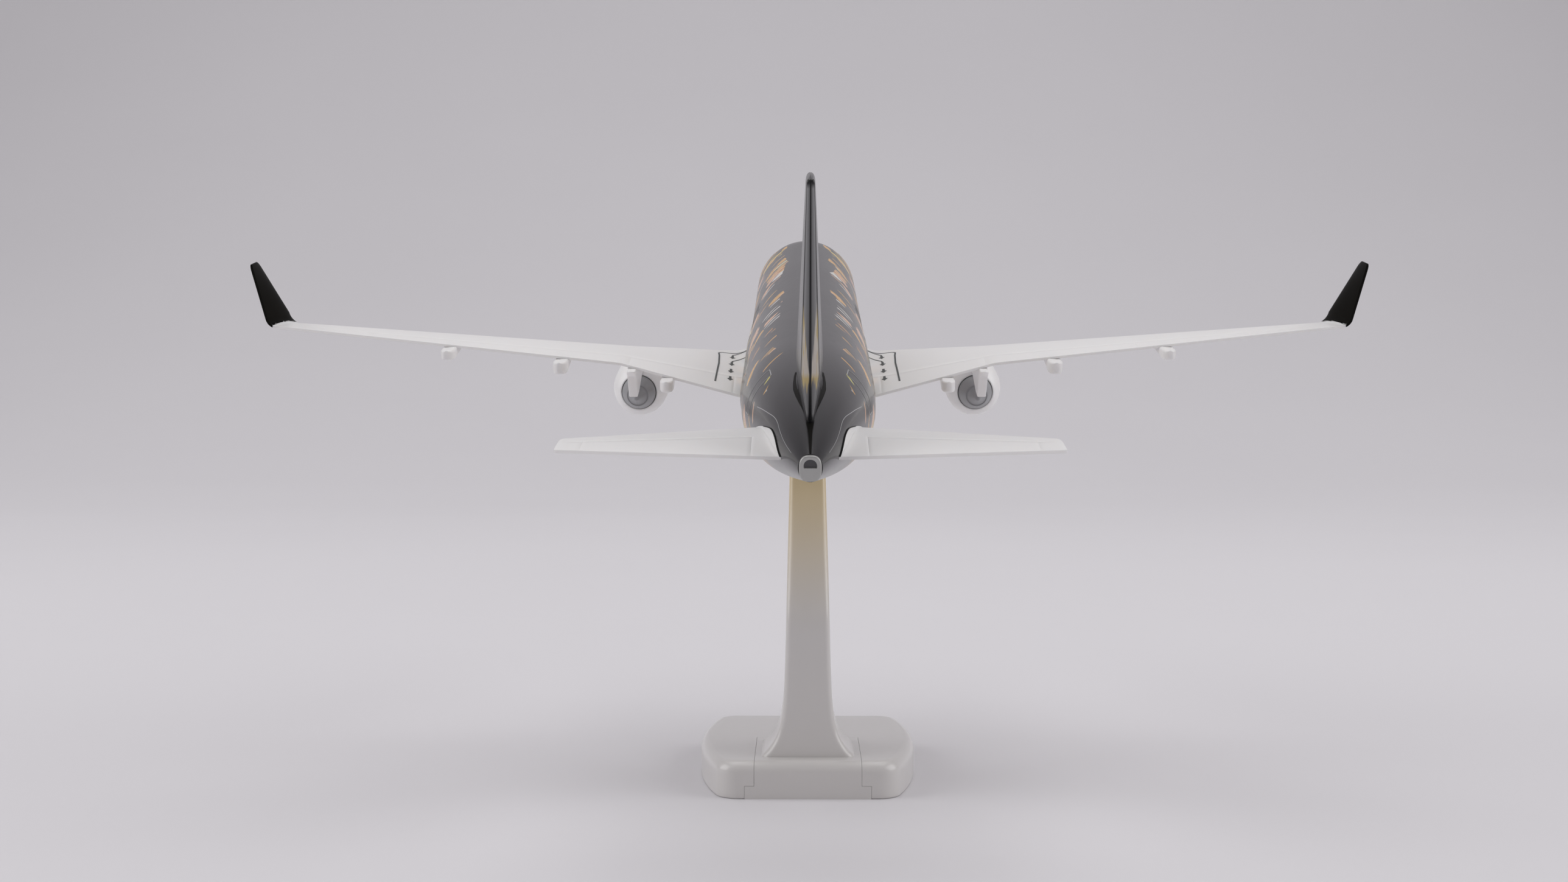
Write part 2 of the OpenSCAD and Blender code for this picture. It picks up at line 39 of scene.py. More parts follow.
# The sizes below are millimetres of the model. The aircraft is drawn level, each place given as how
# far out, how far aft of the nose and how high; flown() puts it on the stand, in the row frame and
# in metres.
milli = 0.001
stance = {"climb": radians(12.25), "seatY": 3.7, "seatZ": 56.5, "seatAft": 98.5, "bellyLow": -12.5}
sides = ((-1, "left"), (1, "right"))
pieces = {}


def mix(a, b, t):
    return a + (b - a) * t


def share(value, start, end):
    return (value - start) / (end - start)


def held(value, low=0.0, high=1.0):
    return min(max(value, low), high)


def spread(start, end, steps, power=1.0):
    return [mix(start, end, (i / steps) ** power) for i in range(steps + 1)]


def turnsOf(count):
    return [2 * pi * i / count for i in range(count)]


def chordSteps(count):
    # shares of a chord, close together at both edges
    return [(1 - cos(pi * i / count)) / 2 for i in range(count + 1)]


def softStep(t):
    return (1 - cos(pi * held(t))) / 2


def capFall(t):
    # how far a rounded cap has drawn in: 0 where the cap starts and 1 at its very end
    return 1 - sqrt(1 - held(t) ** 2)


def capPlaces(end, cap, last=0.995):
    return [end - cap * (1 - t) for t in (0.3, 0.55, 0.75, 0.88, 0.96, last)]


def powerOf(value, power):
    return copysign(abs(value) ** power, value)


def flown(x, aft, z):
    forward, up, tilt = stance["seatAft"] - aft, z - stance["bellyLow"], stance["climb"]
    return Vector((
        x,
        stance["seatY"] + forward * cos(tilt) - up * sin(tilt),
        stance["seatZ"] + forward * sin(tilt) + up * cos(tilt),
    )) * milli


def flownWay(x, forward, up):
    # a direction on the level aircraft, tilted as the aircraft is
    tilt = stance["climb"]
    return Vector((
        x,
        forward * cos(tilt) - up * sin(tilt),
        forward * sin(tilt) + up * cos(tilt),
    ))


# Mesh helpers

def deselectAll():
    if bpy.context.object and bpy.context.object.mode != "OBJECT":
        bpy.ops.object.mode_set(mode="OBJECT")
    bpy.ops.object.select_all(action="DESELECT")


def pick(*chosen):
    deselectAll()
    for one in chosen:
        one.select_set(True)
    bpy.context.view_layer.objects.active = chosen[0]


def named(name, piece=None):
    piece = piece or bpy.context.object
    piece.name = piece.data.name = name
    return piece


def openAll(piece):
    pick(piece)
    bpy.ops.object.mode_set(mode="EDIT")
    bpy.ops.mesh.select_all(action="SELECT")


def smoothAll(smoothAngle):
    bpy.ops.object.mode_set(mode="OBJECT")
    bpy.ops.object.shade_smooth_by_angle(angle=radians(smoothAngle))


def turnOut(piece, smoothAngle):
    bpy.ops.mesh.normals_make_consistent(inside=False)
    smoothAll(smoothAngle)
    return piece


def gridOf(name, rows):
    # a grid whose points lie at these places, row by row
    deselectAll()
    bpy.ops.mesh.primitive_grid_add(x_subdivisions=len(rows[0]) - 1, y_subdivisions=len(rows) - 1, size=0.01)
    piece = named(name)
    piece.data.vertices.foreach_set("co", [v for row in rows for place in row for v in place])
    return piece


def wrapRings(name, rings, smoothAngle=32, side=1):
    # a grid wrapped into rings, in order along the piece, with its seam and poles merged and its
    # ends closed
    piece = gridOf(name, [[(p[0] * side, p[1], p[2]) for p in (*ring, ring[0])] for ring in rings])
    openAll(piece)
    bpy.ops.mesh.remove_doubles(threshold=2e-7)
    bpy.ops.mesh.fill_holes(sides=0)
    return turnOut(piece, smoothAngle)


def boxAt(low, high):
    deselectAll()
    bpy.ops.mesh.primitive_cube_add(size=1, location=[(a + b) / 2 * milli for a, b in zip(low, high)])
    piece = bpy.context.object
    piece.scale = [(b - a) * milli for a, b in zip(low, high)]
    bpy.ops.object.transform_apply(location=True, rotation=True, scale=True)
    return piece


def shaped(piece, kind, **settings):
    # a modifier with these settings, applied
    pick(piece)
    change = piece.modifiers.new("change", kind)
    for name, value in settings.items():
        setattr(change, name, value)
    bpy.ops.object.modifier_apply(modifier=change.name)
    return piece


def cutWith(piece, tool, operation="DIFFERENCE"):
    shaped(piece, "BOOLEAN", operation=operation, solver="EXACT", object=tool)
    bpy.data.objects.remove(tool)
    return piece


def copyOf(piece, name):
    pick(piece)
    bpy.ops.object.duplicate()
    return named(name)


def keepSide(piece, place, away, smoothAngle):
    # cuts off what lies past a plane on the side that "away" points to
    openAll(piece)
    bpy.ops.mesh.bisect(plane_co=place, plane_no=away, use_fill=True, clear_outer=True)
    bpy.ops.mesh.select_all(action="SELECT")
    return turnOut(piece, smoothAngle)


def joined(name, parts):
    pick(*parts)
    bpy.ops.object.join()
    return named(name)


def finished(piece, slot, material, *nodes, body="aircraft"):
    piece.data.materials.clear()
    piece.data.materials.append(material)
    for face in piece.data.polygons:
        face.material_index = 0
    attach(piece, body)
    if nodes:
        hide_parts(*nodes)
    pieces[piece.name] = piece


def partWay(a, b, t):
    return tuple(mix(p, q, t) for p, q in zip(a, b))


def smoothPath(path, step, rounds):
    # the same path with points no further apart than the step, and its corners cut again and again
    fine = [path[0]]
    for a, b in zip(path, path[1:]):
        count = max(1, ceil(dist(a, b) / step))
        fine += [partWay(a, b, i / count) for i in range(1, count + 1)]
    for _ in range(rounds):
        cut = [fine[0]]
        for a, b in zip(fine, fine[1:]):
            cut += [partWay(a, b, 0.25), partWay(a, b, 0.75)]
        fine = cut + [fine[-1]]
    return fine


def ribbon(name, path, widths, surface, lift=(-0.02, 0.03)):
    # a thin strip that lies on a surface, with one width or its own width at each point of its path
    under, over = lift
    rings = []
    for i, (u, v) in enumerate(path):
        before, after = path[max(i - 1, 0)], path[min(i + 1, len(path) - 1)]
        du, dv = after[0] - before[0], after[1] - before[1]
        length = hypot(du, dv)
        width = widths[i] if isinstance(widths, (list, tuple)) else widths
        su, sv = -dv / length * width / 2, du / length * width / 2
        corners = ((-1, under), (1, under), (1, over), (-1, over))
        rings.append([surface(u + way * su, v + way * sv, up) for way, up in corners])
    return wrapRings(name, rings)


def roundedBox(wide, low, high, corner, steps):
    # an outline with rounded corners, as places across and up
    places = []
    for way, top, start in ((1, True, 0), (1, False, 90), (-1, False, 180), (-1, True, 270)):
        for step in range(steps + 1):
            a = radians(start + step * 90 / steps)
            up = (high - corner if top else low + corner) + corner * cos(a)
            places.append((way * (wide / 2 - corner) + corner * sin(a), up))
    return places


# Materials

class Graph:
    # short way to add and join nodes in one node tree
    def __init__(self, tree):
        self.tree = tree

    def add(self, kind, inputs=None, **settings):
        node = self.tree.nodes.new(kind)
        for name, value in settings.items():
            setattr(node, name, value)
        for socket, value in (inputs or {}).items():
            self.feed(node.inputs[socket], value)
        return node

    def feed(self, socket, value):
        if isinstance(value, bpy.types.NodeSocket):
            self.tree.links.new(value, socket)
        else:
            socket.default_value = value

    def place(self):
        return self.add("ShaderNodeTexCoord").outputs["Object"]

    def maths(self, operation, *values):
        return self.add("ShaderNodeMath", dict(enumerate(values)), operation=operation).outputs[0]

    def times(self, first, *others):
        for other in others:
            first = self.maths("MULTIPLY", first, other)
        return first

    def plus(self, first, second):
        return self.maths("ADD", first, second)

    def less(self, first, second):
        return self.maths("SUBTRACT", first, second)

    def over(self, first, second):
        return self.maths("DIVIDE", first, second)

    def vector(self, operation, inputs):
        return self.add("ShaderNodeVectorMath", inputs, operation=operation).outputs[0]

    def flat(self, x, y, z):
        return self.add("ShaderNodeCombineXYZ", {0: x, 1: y, 2: z}).outputs[0]

    def ramp(self, value, start, end, **settings):
        # rises from 0 at the start to 1 at the end
        limits = {"Value": value, "From Min": start, "From Max": end}
        return self.add("ShaderNodeMapRange", limits, **settings).outputs[0]

    def between(self, value, low, high, blur=0.0001):
        # 1 where the value lies between two limits
        rise, fall = self.ramp(value, low - blur, low + blur), self.ramp(value, high + blur, high - blur)
        return self.times(rise, fall)

    def blend(self, amount, first, second):
        return self.add("ShaderNodeMix", {0: amount, 6: first, 7: second}, data_type="RGBA").outputs[2]

    def noise(self, vector, scale, detail=2.0, seed=(0, 0, 0)):
        moved = self.add("ShaderNodeMapping", {"Vector": vector, "Location": seed}).outputs[0]
        return self.add("ShaderNodeTexNoise", {"Vector": moved, "Scale": scale, "Detail": detail}).outputs[0]


def newGroup(name, inputs, outputs):
    # inputs come with their usual values; colours are the tuples and the output named Color
    tree = bpy.data.node_groups.new(name, "ShaderNodeTree")
    for label, value in inputs.items():
        kind = "NodeSocketColor" if isinstance(value, tuple) else "NodeSocketFloat"
        tree.interface.new_socket(label, in_out="INPUT", socket_type=kind).default_value = value
    for label in outputs:
        kind = "NodeSocketColor" if label == "Color" else "NodeSocketFloat"
        tree.interface.new_socket(label, in_out="OUTPUT", socket_type=kind)
    graph = Graph(tree)
    return graph, graph.add("NodeGroupInput").outputs, graph.add("NodeGroupOutput").inputs


# The plastic skin's patterns: their scales on the piece, and the size and number of the specks
grain = {
    "cloud": 55, "fine": 900, "relief": 2600, "specks": 520, "speckSize": 0.075, "specksLeftOut": 0.86,
    "dust": (0.55, 0.54, 0.52, 1), "dustRough": 0.5, "cloudRelief": 0.6, "depth": 0.00004,
}


def buildMouldedSkin():
    # cloudy tone, fine grain and specks of dust on moulded or sprayed plastic
    g, given, out = newGroup("moulded skin", {
        "Tint": (0.8, 0.8, 0.8, 1), "Cloud": 0.03, "Gloss": 0.3, "Gloss Spread": 0.05, "Dust": 0.1,
    }, ("Color", "Roughness", "Height"))
    place = g.place()
    cloud = g.noise(place, grain["cloud"], 3)
    around = g.less(cloud, 0.5)
    tone = g.plus(1.0, g.times(around, 2.0, given["Cloud"]))
    shaded = g.vector("SCALE", {0: given["Tint"], 3: tone})
    specks = g.add("ShaderNodeTexVoronoi", {"Vector": place, "Scale": grain["specks"]}).outputs
    lot = g.add("ShaderNodeSeparateColor", {0: specks["Color"]}).outputs[0]
    speck = g.maths("LESS_THAN", specks["Distance"], grain["speckSize"])
    dust = g.times(speck, g.maths("GREATER_THAN", lot, grain["specksLeftOut"]), given["Dust"])
    g.feed(out["Color"], g.blend(dust, shaded, grain["dust"]))
    fine = g.less(g.noise(place, grain["fine"], 2, (3, 1, 7)), 0.5)
    rough = g.plus(given["Gloss"], g.times(g.plus(fine, around), given["Gloss Spread"]))
    g.feed(out["Roughness"], g.plus(rough, g.times(dust, grain["dustRough"])))
    relief = g.noise(place, grain["relief"], 2, (9, 4, 2))
    g.feed(out["Height"], g.plus(relief, g.times(cloud, grain["cloudRelief"])))
    return g.tree


def buildAircraftAxes():
    # millimetres of the level aircraft: how far out, aft, up, and how far round from its top
    g, given, out = newGroup("aircraft axes", {"Middle": -0.5}, ("Out", "Aft", "Up", "Round", "Side"))
    tilt = stance["climb"]
    seat = Matrix.Rotation(-tilt, 4, "X") @ Vector((0, -stance["seatY"], -stance["seatZ"]))
    shift = seat + Vector((0, -stance["seatAft"], stance["bellyLow"]))
    level = g.add("ShaderNodeMapping", {
        "Vector": g.place(), "Location": shift, "Rotation": (-tilt, 0, 0), "Scale": (1000, 1000, 1000)})
    across, forward, up = g.add("ShaderNodeSeparateXYZ", {0: level.outputs[0]}).outputs
    away = g.maths("ABSOLUTE", across)
    g.feed(out["Out"], away)
    g.feed(out["Side"], g.maths("SIGN", across))
    g.feed(out["Aft"], g.times(forward, -1.0))
    g.feed(out["Up"], up)
    # a turn of one radian counts as ten millimetres
    g.feed(out["Round"], g.times(g.maths("ARCTAN2", away, g.less(up, given["Middle"])), 10.0))
    return g.tree


# Printed dabs: how ragged and how far apart they are, and their colours by share
dabPaint = {
    "ragged": 3.5, "shake": 0.22, "reach": 0.42, "apart": 0.05,
    "shades": ((0, (0.68, 0.36, 0.07)), (0.34, (0.72, 0.42, 0.26)), (0.56, (0.72, 0.7, 0.66)),
               (0.78, (0.66, 0.6, 0.12)), (0.9, (0.33, 0.1, 0.06))),
}


def buildPaintDabs():
    # slanted dabs of printed colour, the same on both sides: 1 where there is paint, and its colour
    g, given, out = newGroup("paint dabs", {
        "Aft": 0, "Round": 0, "Length": 9.0, "Width": 2.4, "Slant": 0.6, "Cover": 0.6, "Seed": 0,
    }, ("Mask", "Color"))
    aft, around = given["Aft"], given["Round"]
    cosine, sine = g.maths("COSINE", given["Slant"]), g.maths("SINE", given["Slant"])
    along = g.plus(g.times(aft, cosine), g.times(around, sine))
    across = g.less(g.times(around, cosine), g.times(aft, sine))
    flat = g.flat(g.over(along, given["Length"]), g.over(across, given["Width"]), given["Seed"])
    ragged = g.add("ShaderNodeTexNoise", {"Vector": flat, "Scale": dabPaint["ragged"], "Detail": 2.0})
    shake = g.vector("SCALE", {0: ragged.outputs["Color"], 3: dabPaint["shake"]})
    bent = {"Vector": g.vector("ADD", {0: flat, 1: shake}), "Scale": 1.0}
    cells = g.add("ShaderNodeTexVoronoi", bent, voronoi_dimensions="2D").outputs
    edge = g.add("ShaderNodeTexVoronoi", bent, voronoi_dimensions="2D", feature="DISTANCE_TO_EDGE").outputs
    near = g.times(g.maths("LESS_THAN", cells["Distance"], dabPaint["reach"]),
                   g.maths("GREATER_THAN", edge["Distance"], dabPaint["apart"]))
    lots = g.add("ShaderNodeSeparateColor", {0: cells["Color"]}).outputs
    g.feed(out["Mask"], g.times(near, g.maths("LESS_THAN", lots[0], given["Cover"])))
    chart = g.add("ShaderNodeValToRGB", {0: lots[1]})
    chart.color_ramp.interpolation = "CONSTANT"
    steps = chart.color_ramp.elements
    while len(steps) < len(dabPaint["shades"]):
        steps.new(0.5)
    for step, (at, shade) in zip(steps, dabPaint["shades"]):
        step.position = at
        step.color = (*shade, 1)
    g.feed(out["Color"], chart.outputs[0])
    return g.tree


mouldedSkin, aircraftAxes, paintDabs = buildMouldedSkin(), buildAircraftAxes(), buildPaintDabs()

# Each finish: what the plastic skin is given, its bump, and what its shader has besides
skinInputs = ("Tint", "Cloud", "Gloss", "Gloss Spread", "Dust")
looks = {
    "white moulded plastic": ((0.86, 0.85, 0.845, 1), 0.012, 0.34, 0.08, 0.12, 0.12, {
        "Coat Weight": 0.15, "Coat Roughness": 0.2, "IOR": 1.5, "Subsurface Weight": 0.4,
        "Subsurface Radius": (1, 0.95, 0.9), "Subsurface Scale": 0.0007}),
    # the stand's copy of the white plastic, darker: painted shade for the stand's dimmer faces
    "white plastic greyed as painted shade": ((0.64, 0.62, 0.607, 1), 0.012, 0.34, 0.08, 0.12, 0.12, {
        "Coat Weight": 0.6, "Coat Roughness": 0.12, "IOR": 1.5}),
    "printed black gloss": ((0.014, 0.0138, 0.015, 1), 0.2, 0.19, 0.05, 0.1, 0.05, {"IOR": 1.45}),
    "satin black paint": ((0.008, 0.0075, 0.0065, 1), 0.2, 0.38, 0.08, 0.05, 0.08, {
        "IOR": 1.3, "Specular IOR Level": 0.08}),
    "grey moulded plastic": ((0.3, 0.3, 0.31, 1), 0.06, 0.42, 0.1, 0.2, 0.25, {"IOR": 1.5}),
    "dark moulded plastic": ((0.07, 0.07, 0.075, 1), 0.1, 0.4, 0.1, 0.25, 0.2, {"IOR": 1.5}),
    "silver paint": ((0.6, 0.6, 0.61, 1), 0.05, 0.33, 0.12, 0.2, 0.3, {
        "Metallic": 0.85, "Coat Weight": 0.2, "Coat Roughness": 0.15}),
    "dull silver paint": ((0.42, 0.42, 0.41, 1), 0.15, 0.36, 0.15, 0.2, 0.5, {"Metallic": 0.6}),
    "dark grey print": ((0.055, 0.06, 0.06, 1), 0.15, 0.5, 0.1, 0.1, 0.3, {"IOR": 1.5}),
    "pale grey print and painted highlight": ((0.42, 0.42, 0.43, 1), 0.15, 0.45, 0.1, 0.1, 0.3, {"IOR": 1.5}),
}


def bareMaterial(name):
    material = bpy.data.materials.new(name)
    material.use_nodes = True
    return material, Graph(material.node_tree), material.node_tree.nodes["Principled BSDF"].inputs


def newMaterial(name, look=None):
    # a shader with the plastic skin's group in front of it; what varies is returned for more work
    *given, bump, own = looks[look or name]
    material, g, shader = bareMaterial(name)
    skin = g.add("ShaderNodeGroup", dict(zip(skinInputs, given)), node_tree=mouldedSkin).outputs
    relief = g.add("ShaderNodeBump", {"Height": skin["Height"], "Strength": bump, "Distance": grain["depth"]})
    varied = {"Base Color": skin["Color"], "Roughness": skin["Roughness"], "Normal": relief.outputs["Normal"]}
    for socket, value in {**own, **varied}.items():
        g.feed(shader[socket], value)
    material.diffuse_color = given[0]
    return material, g, shader, skin


whitePlastic = newMaterial("white moulded plastic")[0]
# the stand's white plastic, darker than the aircraft's: painted shade
shadedStandPlastic = newMaterial("white plastic greyed as painted shade")[0]
satinBlack = newMaterial("satin black paint")[0]
greyPlastic = newMaterial("grey moulded plastic")[0]
darkPlastic = newMaterial("dark moulded plastic")[0]
silverPaint = newMaterial("silver paint")[0]
dullSilver = newMaterial("dull silver paint")[0]
printedGrey = newMaterial("dark grey print")[0]
palePrintAndHighlight = newMaterial("pale grey print and painted highlight")[0]

# The body's printed colours: dabs of paint along both sides, and a row of windows
livery = {
    "aft": (13, 158), "round": (4.6, 23), "out": (2.4, 20), "wander": 7.0, "wanderScale": 70, "worn": 0.95,
    "windowPitch": 2.65, "windowWide": 1.05, "windowTall": 1.5, "windowUp": 2.1, "windowsAft": (24, 146),
    "windowsOut": (7, 12), "glass": (0.028, 0.03, 0.036, 1), "cabinMiddle": -0.5,
    "dabs": (
        {"Length": 12.0, "Width": 5.2, "Slant": 0.95, "Cover": 0.27, "Seed": 4.0},
        {"Length": 8.0, "Width": 2.2, "Slant": 0.4, "Cover": 0.26, "Seed": 1.0},
        {"Length": 7.0, "Width": 0.7, "Slant": 0.62, "Cover": 0.2, "Seed": 8.0},
    ),
}

# The fin's blunt rear edge: greyer from the joint outwards, which is a painted reflection of the lamps on its
# rounded halves, with pale streaks and amber ends low on it. The pale streaks are partly print and partly a
# painted highlight on the beads at the outer edges; the amber ends are print. greyer, face, inner and
# streakEdge are shares of the edge's half width.
finPaint = {
    "lean": 0.239, "aft": (176.42, 177.4), "up": (8.5, 37.4), "halfAtZero": 1.575, "narrowing": 0.0286,
    "greyer": (0.1, 0.7), "face": (0.15, 0.86), "streaksUp": (12.6, 23.5), "innerUp": (14, 23.5),
    "inner": 0.75, "streakEdge": (0.08, 0.2), "amberUp": (14.2, 13.4), "amberFrom": (0.52, 0.58),
    "cover": 0.85,
    "dark": (0.12, 0.12, 0.122, 1), "grey": (0.26, 0.26, 0.265, 1),
    "pale": (0.64, 0.59, 0.52, 1), "amber": (0.58, 0.45, 0.2, 1),
}


def paintFin(g, tint, axes):
    up, paint = axes["Up"], finPaint
    aft = g.less(axes["Aft"], g.times(up, paint["lean"]))
    rear = g.times(g.between(aft, *paint["aft"], 0.08), g.between(up, *paint["up"], 0.3))
    half = g.less(paint["halfAtZero"], g.times(up, paint["narrowing"]))
    outward = g.over(axes["Out"], half)
    # the face is dark at the joint and greyer outwards: painted reflection of the lamps on the rounded halves
    shade = g.blend(g.ramp(outward, *paint["greyer"]), paint["dark"], paint["grey"])
    tint = g.blend(g.times(rear, g.between(outward, *paint["face"], 0.05)), tint, shade)
    flat = g.flat(g.times(axes["Out"], 2.6), axes["Side"], g.times(up, 0.11))
    streak = g.add("ShaderNodeTexNoise", {"Vector": flat, "Scale": 1.6, "Detail": 3.0}).outputs[0]
    uneven = g.less(streak, 0.5)
    inner = g.plus(g.times(g.ramp(up, *paint["innerUp"]), paint["inner"]), g.times(uneven, 0.5))
    # pale streaks near the outer edges: partly print, partly a painted highlight on the beads; the amber low
    # down is print
    lit = g.ramp(g.less(outward, inner), *paint["streakEdge"])
    fade = g.between(g.plus(up, g.times(uneven, 6)), *paint["streaksUp"], 0.5)
    low = g.maths("MAXIMUM", g.ramp(streak, *paint["amberFrom"]), g.ramp(up, *paint["amberUp"]))
    amount = g.times(rear, lit, g.times(fade, paint["cover"]))
    return g.blend(amount, tint, g.blend(low, paint["pale"], paint["amber"]))


def paintBody():
    material, g, shader, skin = newMaterial("printed black gloss")
    axes = g.add("ShaderNodeGroup", {"Middle": livery["cabinMiddle"]}, node_tree=aircraftAxes).outputs
    aft, around, pitch = axes["Aft"], axes["Round"], livery["windowPitch"]
    wander = g.times(g.less(g.noise(g.place(), livery["wanderScale"]), 0.5), livery["wander"])
    inside = g.times(g.between(aft, *livery["aft"]), g.between(g.plus(around, wander), *livery["round"]),
                     g.between(axes["Out"], *livery["out"]))
    tint = skin["Color"]
    for size in livery["dabs"]:
        given = {"Aft": g.plus(aft, size["Seed"] * 31), "Round": around, **size}
        dabs = g.add("ShaderNodeGroup", given, node_tree=paintDabs).outputs
        tint = g.blend(g.times(dabs["Mask"], inside, livery["worn"]), tint, dabs["Color"])
    cell = g.maths("ABSOLUTE", g.less(g.maths("FRACT", g.over(aft, pitch)), 0.5))
    wide = g.maths("LESS_THAN", cell, livery["windowWide"] / 2 / pitch)
    middle, half = livery["windowUp"], livery["windowTall"] / 2
    tall = g.between(axes["Up"], middle - half, middle + half)
    row = g.times(g.between(aft, *livery["windowsAft"]), g.between(axes["Out"], *livery["windowsOut"]))
    tint = g.blend(g.times(wide, tall, row), tint, livery["glass"])
    g.feed(shader["Base Color"], paintFin(g, tint, axes))
    return material


# The arm's plastic is a little yellowed towards its top, between two heights in metres; it is also made
# lighter there, painted light against the shadow that the aircraft casts on the arm's top
yellowingAndPaintedLight = {"from": 0.024, "to": 0.056, "tint": (0.84, 0.665, 0.385, 1)}


def paintArm():
    material, g, shader, skin = newMaterial("arm plastic, yellowing and painted light", "white plastic greyed as painted shade")
    height = g.add("ShaderNodeSeparateXYZ", {0: g.place()}).outputs[2]
    # the tint turns yellow and lighter towards the top: yellowing, with painted light against the aircraft's
    # shadow
    rise = g.ramp(height, yellowingAndPaintedLight["from"], yellowingAndPaintedLight["to"], interpolation_type="SMOOTHSTEP")
    g.feed(shader["Base Color"], g.blend(rise, skin["Color"], yellowingAndPaintedLight["tint"]))
    return material


printedBlack, armPlastic = paintBody(), paintArm()
print("materials made")


# Fuselage: the nose fills out, the cabin runs straight and the tail tapers to the outlet

body = {
    "length": 187.8, "wide": 19.75, "high": 20.7, "noseLength": 28, "noseRound": 0.55, "noseCrown": 0.78,
    "noseUp": -3, "noseFrom": 0.02, "tailLength": 52.8, "sweepLead": 3.5, "sweepBend": 0.12,
    "tailNarrowing": 1.6, "tailCrown": 2.6, "bellyFront": 48.5, "bellyLength": 77, "bellyRamp": 19,
    "bellySide": 3, "bellyDeep": 2.15, "bellyFlat": 0.6, "bellySquare": 0.75, "points": 96, "seam": 0.03,
    "seamEdge": 0.1,
}
outlet = {
    "wide": 2.75, "top": 5.7, "low": 2.45, "length": 1.6, "sunk": 0.5, "fit": 0.06, "inset": 0.05,
    "deep": 1.1, "edge": 0.22, "square": 0.75, "archWide": 0.82, "archHigh": 0.8, "archUp": 0.35,
    "archSquare": 0.9, "backAt": 0.3, "backThick": 0.12,
}
tailStart = body["length"] - body["tailLength"]


def filled(aft, power):
    return (1 - (1 - held(aft / body["noseLength"])) ** 2) ** power


def tapered(aft, power):
    return max(share(aft, tailStart, body["length"]), 0) ** power


def soft(t):
    return sqrt(t * t + body["sweepBend"] ** 2) - body["sweepBend"]


def swept(aft):
    return soft(max(share(aft, tailStart - body["sweepLead"], body["length"]), 0)) / soft(1)


def halfWide(aft):
    return (body["wide"] / 2 * filled(aft, body["noseRound"])
            - (body["wide"] - outlet["wide"]) / 2 * tapered(aft, body["tailNarrowing"]))


def topUp(aft):
    return (body["noseUp"] + (body["high"] / 2 - body["noseUp"]) * filled(aft, body["noseCrown"])
            - (body["high"] / 2 - outlet["top"]) * tapered(aft, body["tailCrown"]))


def lowUp(aft):
    return (body["noseUp"] - (body["high"] / 2 + body["noseUp"]) * filled(aft, body["noseRound"])
            + (body["high"] / 2 + outlet["low"]) * swept(aft))


def bulge(aft):
    front, ramp = body["bellyFront"], body["bellyRamp"]
    return softStep((aft - front) / ramp) * softStep((front + body["bellyLength"] - aft) / ramp)


def skinAt(aft, turn, lift=0.0):
    # a place on the body's skin: how far aft, and how far round from the top, in radians
    high, swell, down = (topUp(aft) - lowUp(aft)) / 2, bulge(aft), max(-cos(turn), 0)
    square = high * (down ** body["bellySquare"] - down)
    low = swell * (body["bellyDeep"] * down ** body["bellyFlat"] + square)
    out = (halfWide(aft) + swell * body["bellySide"] * sqrt(down) + lift) * sin(turn)
    return flown(out, aft, (topUp(aft) + lowUp(aft)) / 2 + (high + lift) * cos(turn) - low)


def buildBody():
    # the skin runs aft to the outlet's ring, steps in and runs forward again round a recess
    end, turns = body["length"], turnsOf(body["points"])
    places = [body["noseFrom"] + body["noseLength"] * (i / 26) ** 2 for i in range(1, 27)]
    places += spread(29.5, tailStart - 5, 44) + spread(tailStart - 3, end - outlet["sunk"], 36)
    rings = [[flown(0, body["noseFrom"], body["noseUp"])] * body["points"]]
    rings += [[skinAt(aft, turn) for turn in turns] for aft in places]
    for back in (outlet["sunk"], outlet["length"]):
        rings.append([skinAt(end, turn, -outlet["fit"]) + flownWay(0, back, 0) * milli for turn in turns])
    return wrapRings("bodyShell", rings, 40)


# Fin: its foot is a slim teardrop that runs out to a point on the tail's crown. Above that its rear
# edge is blunt, and each half ends in a rounded bead.

fin = {
    "rootUp": 7, "rootLe": 149, "rootTe": 178.3, "tipLe": 175, "tipTe": 185.6, "top": 38.23, "capUp": 0.7,
    "capLead": 1.4, "capTrail": 0.5, "rootThick": 3.1, "rootEdge": 0.3, "waistUp": 14, "waistEdge": 2.35,
    "waistPower": 0.8, "tipThick": 0.75, "tipEdge": 1.0, "capWide": 0.5, "bead": 0.45, "beadShare": 0.35,
    "beadSquare": 0.8,
}


def aerofoil(c):
    return 1.48 * sqrt(c) - 0.63 * c - 1.758 * c * c + 1.4215 * c ** 3 - 0.5075 * c ** 4


def finRing(up):
    capFrom, square = fin["top"] - fin["capUp"], fin["beadSquare"]
    t, fall = share(up, fin["rootUp"], capFrom), capFall(share(up, capFrom, fin["top"]))
    le = mix(fin["rootLe"], fin["tipLe"], t) + fin["capLead"] * fall
    te = mix(fin["rootTe"], fin["tipTe"], t) - fin["capTrail"] * fall
    thick = mix(mix(fin["rootThick"], fin["tipThick"], t), fin["capWide"], fall)
    waist = held(share(up, fin["rootUp"], fin["waistUp"])) ** fin["waistPower"]
    edge = mix(fin["waistEdge"], fin["tipEdge"], held(share(up, fin["waistUp"], capFrom)))
    edge = mix(edge * mix(fin["rootEdge"] / fin["waistEdge"], 1, waist), fin["capWide"], fall)
    bead = min(fin["bead"], edge * fin["beadShare"])
    right = [(thick * aerofoil(c) + edge / 2 * c, mix(le, te - bead, c)) for c in chordSteps(24)]
    for a in spread(0, pi / 2, 8)[1:]:
        right.append((edge / 2 * cos(a) ** square, te - bead + bead * sin(a) ** square))
    return [flown(out, aft, up) for out, aft in right + [(-out, aft) for out, aft in right[-2:0:-1]]]


def buildFin():
    heights = spread(fin["rootUp"] - 1, fin["waistUp"], 26) + spread(15, fin["top"] - fin["capUp"], 14)
    return wrapRings("finBlade", [finRing(up) for up in heights + capPlaces(fin["top"], fin["capUp"])], 40)


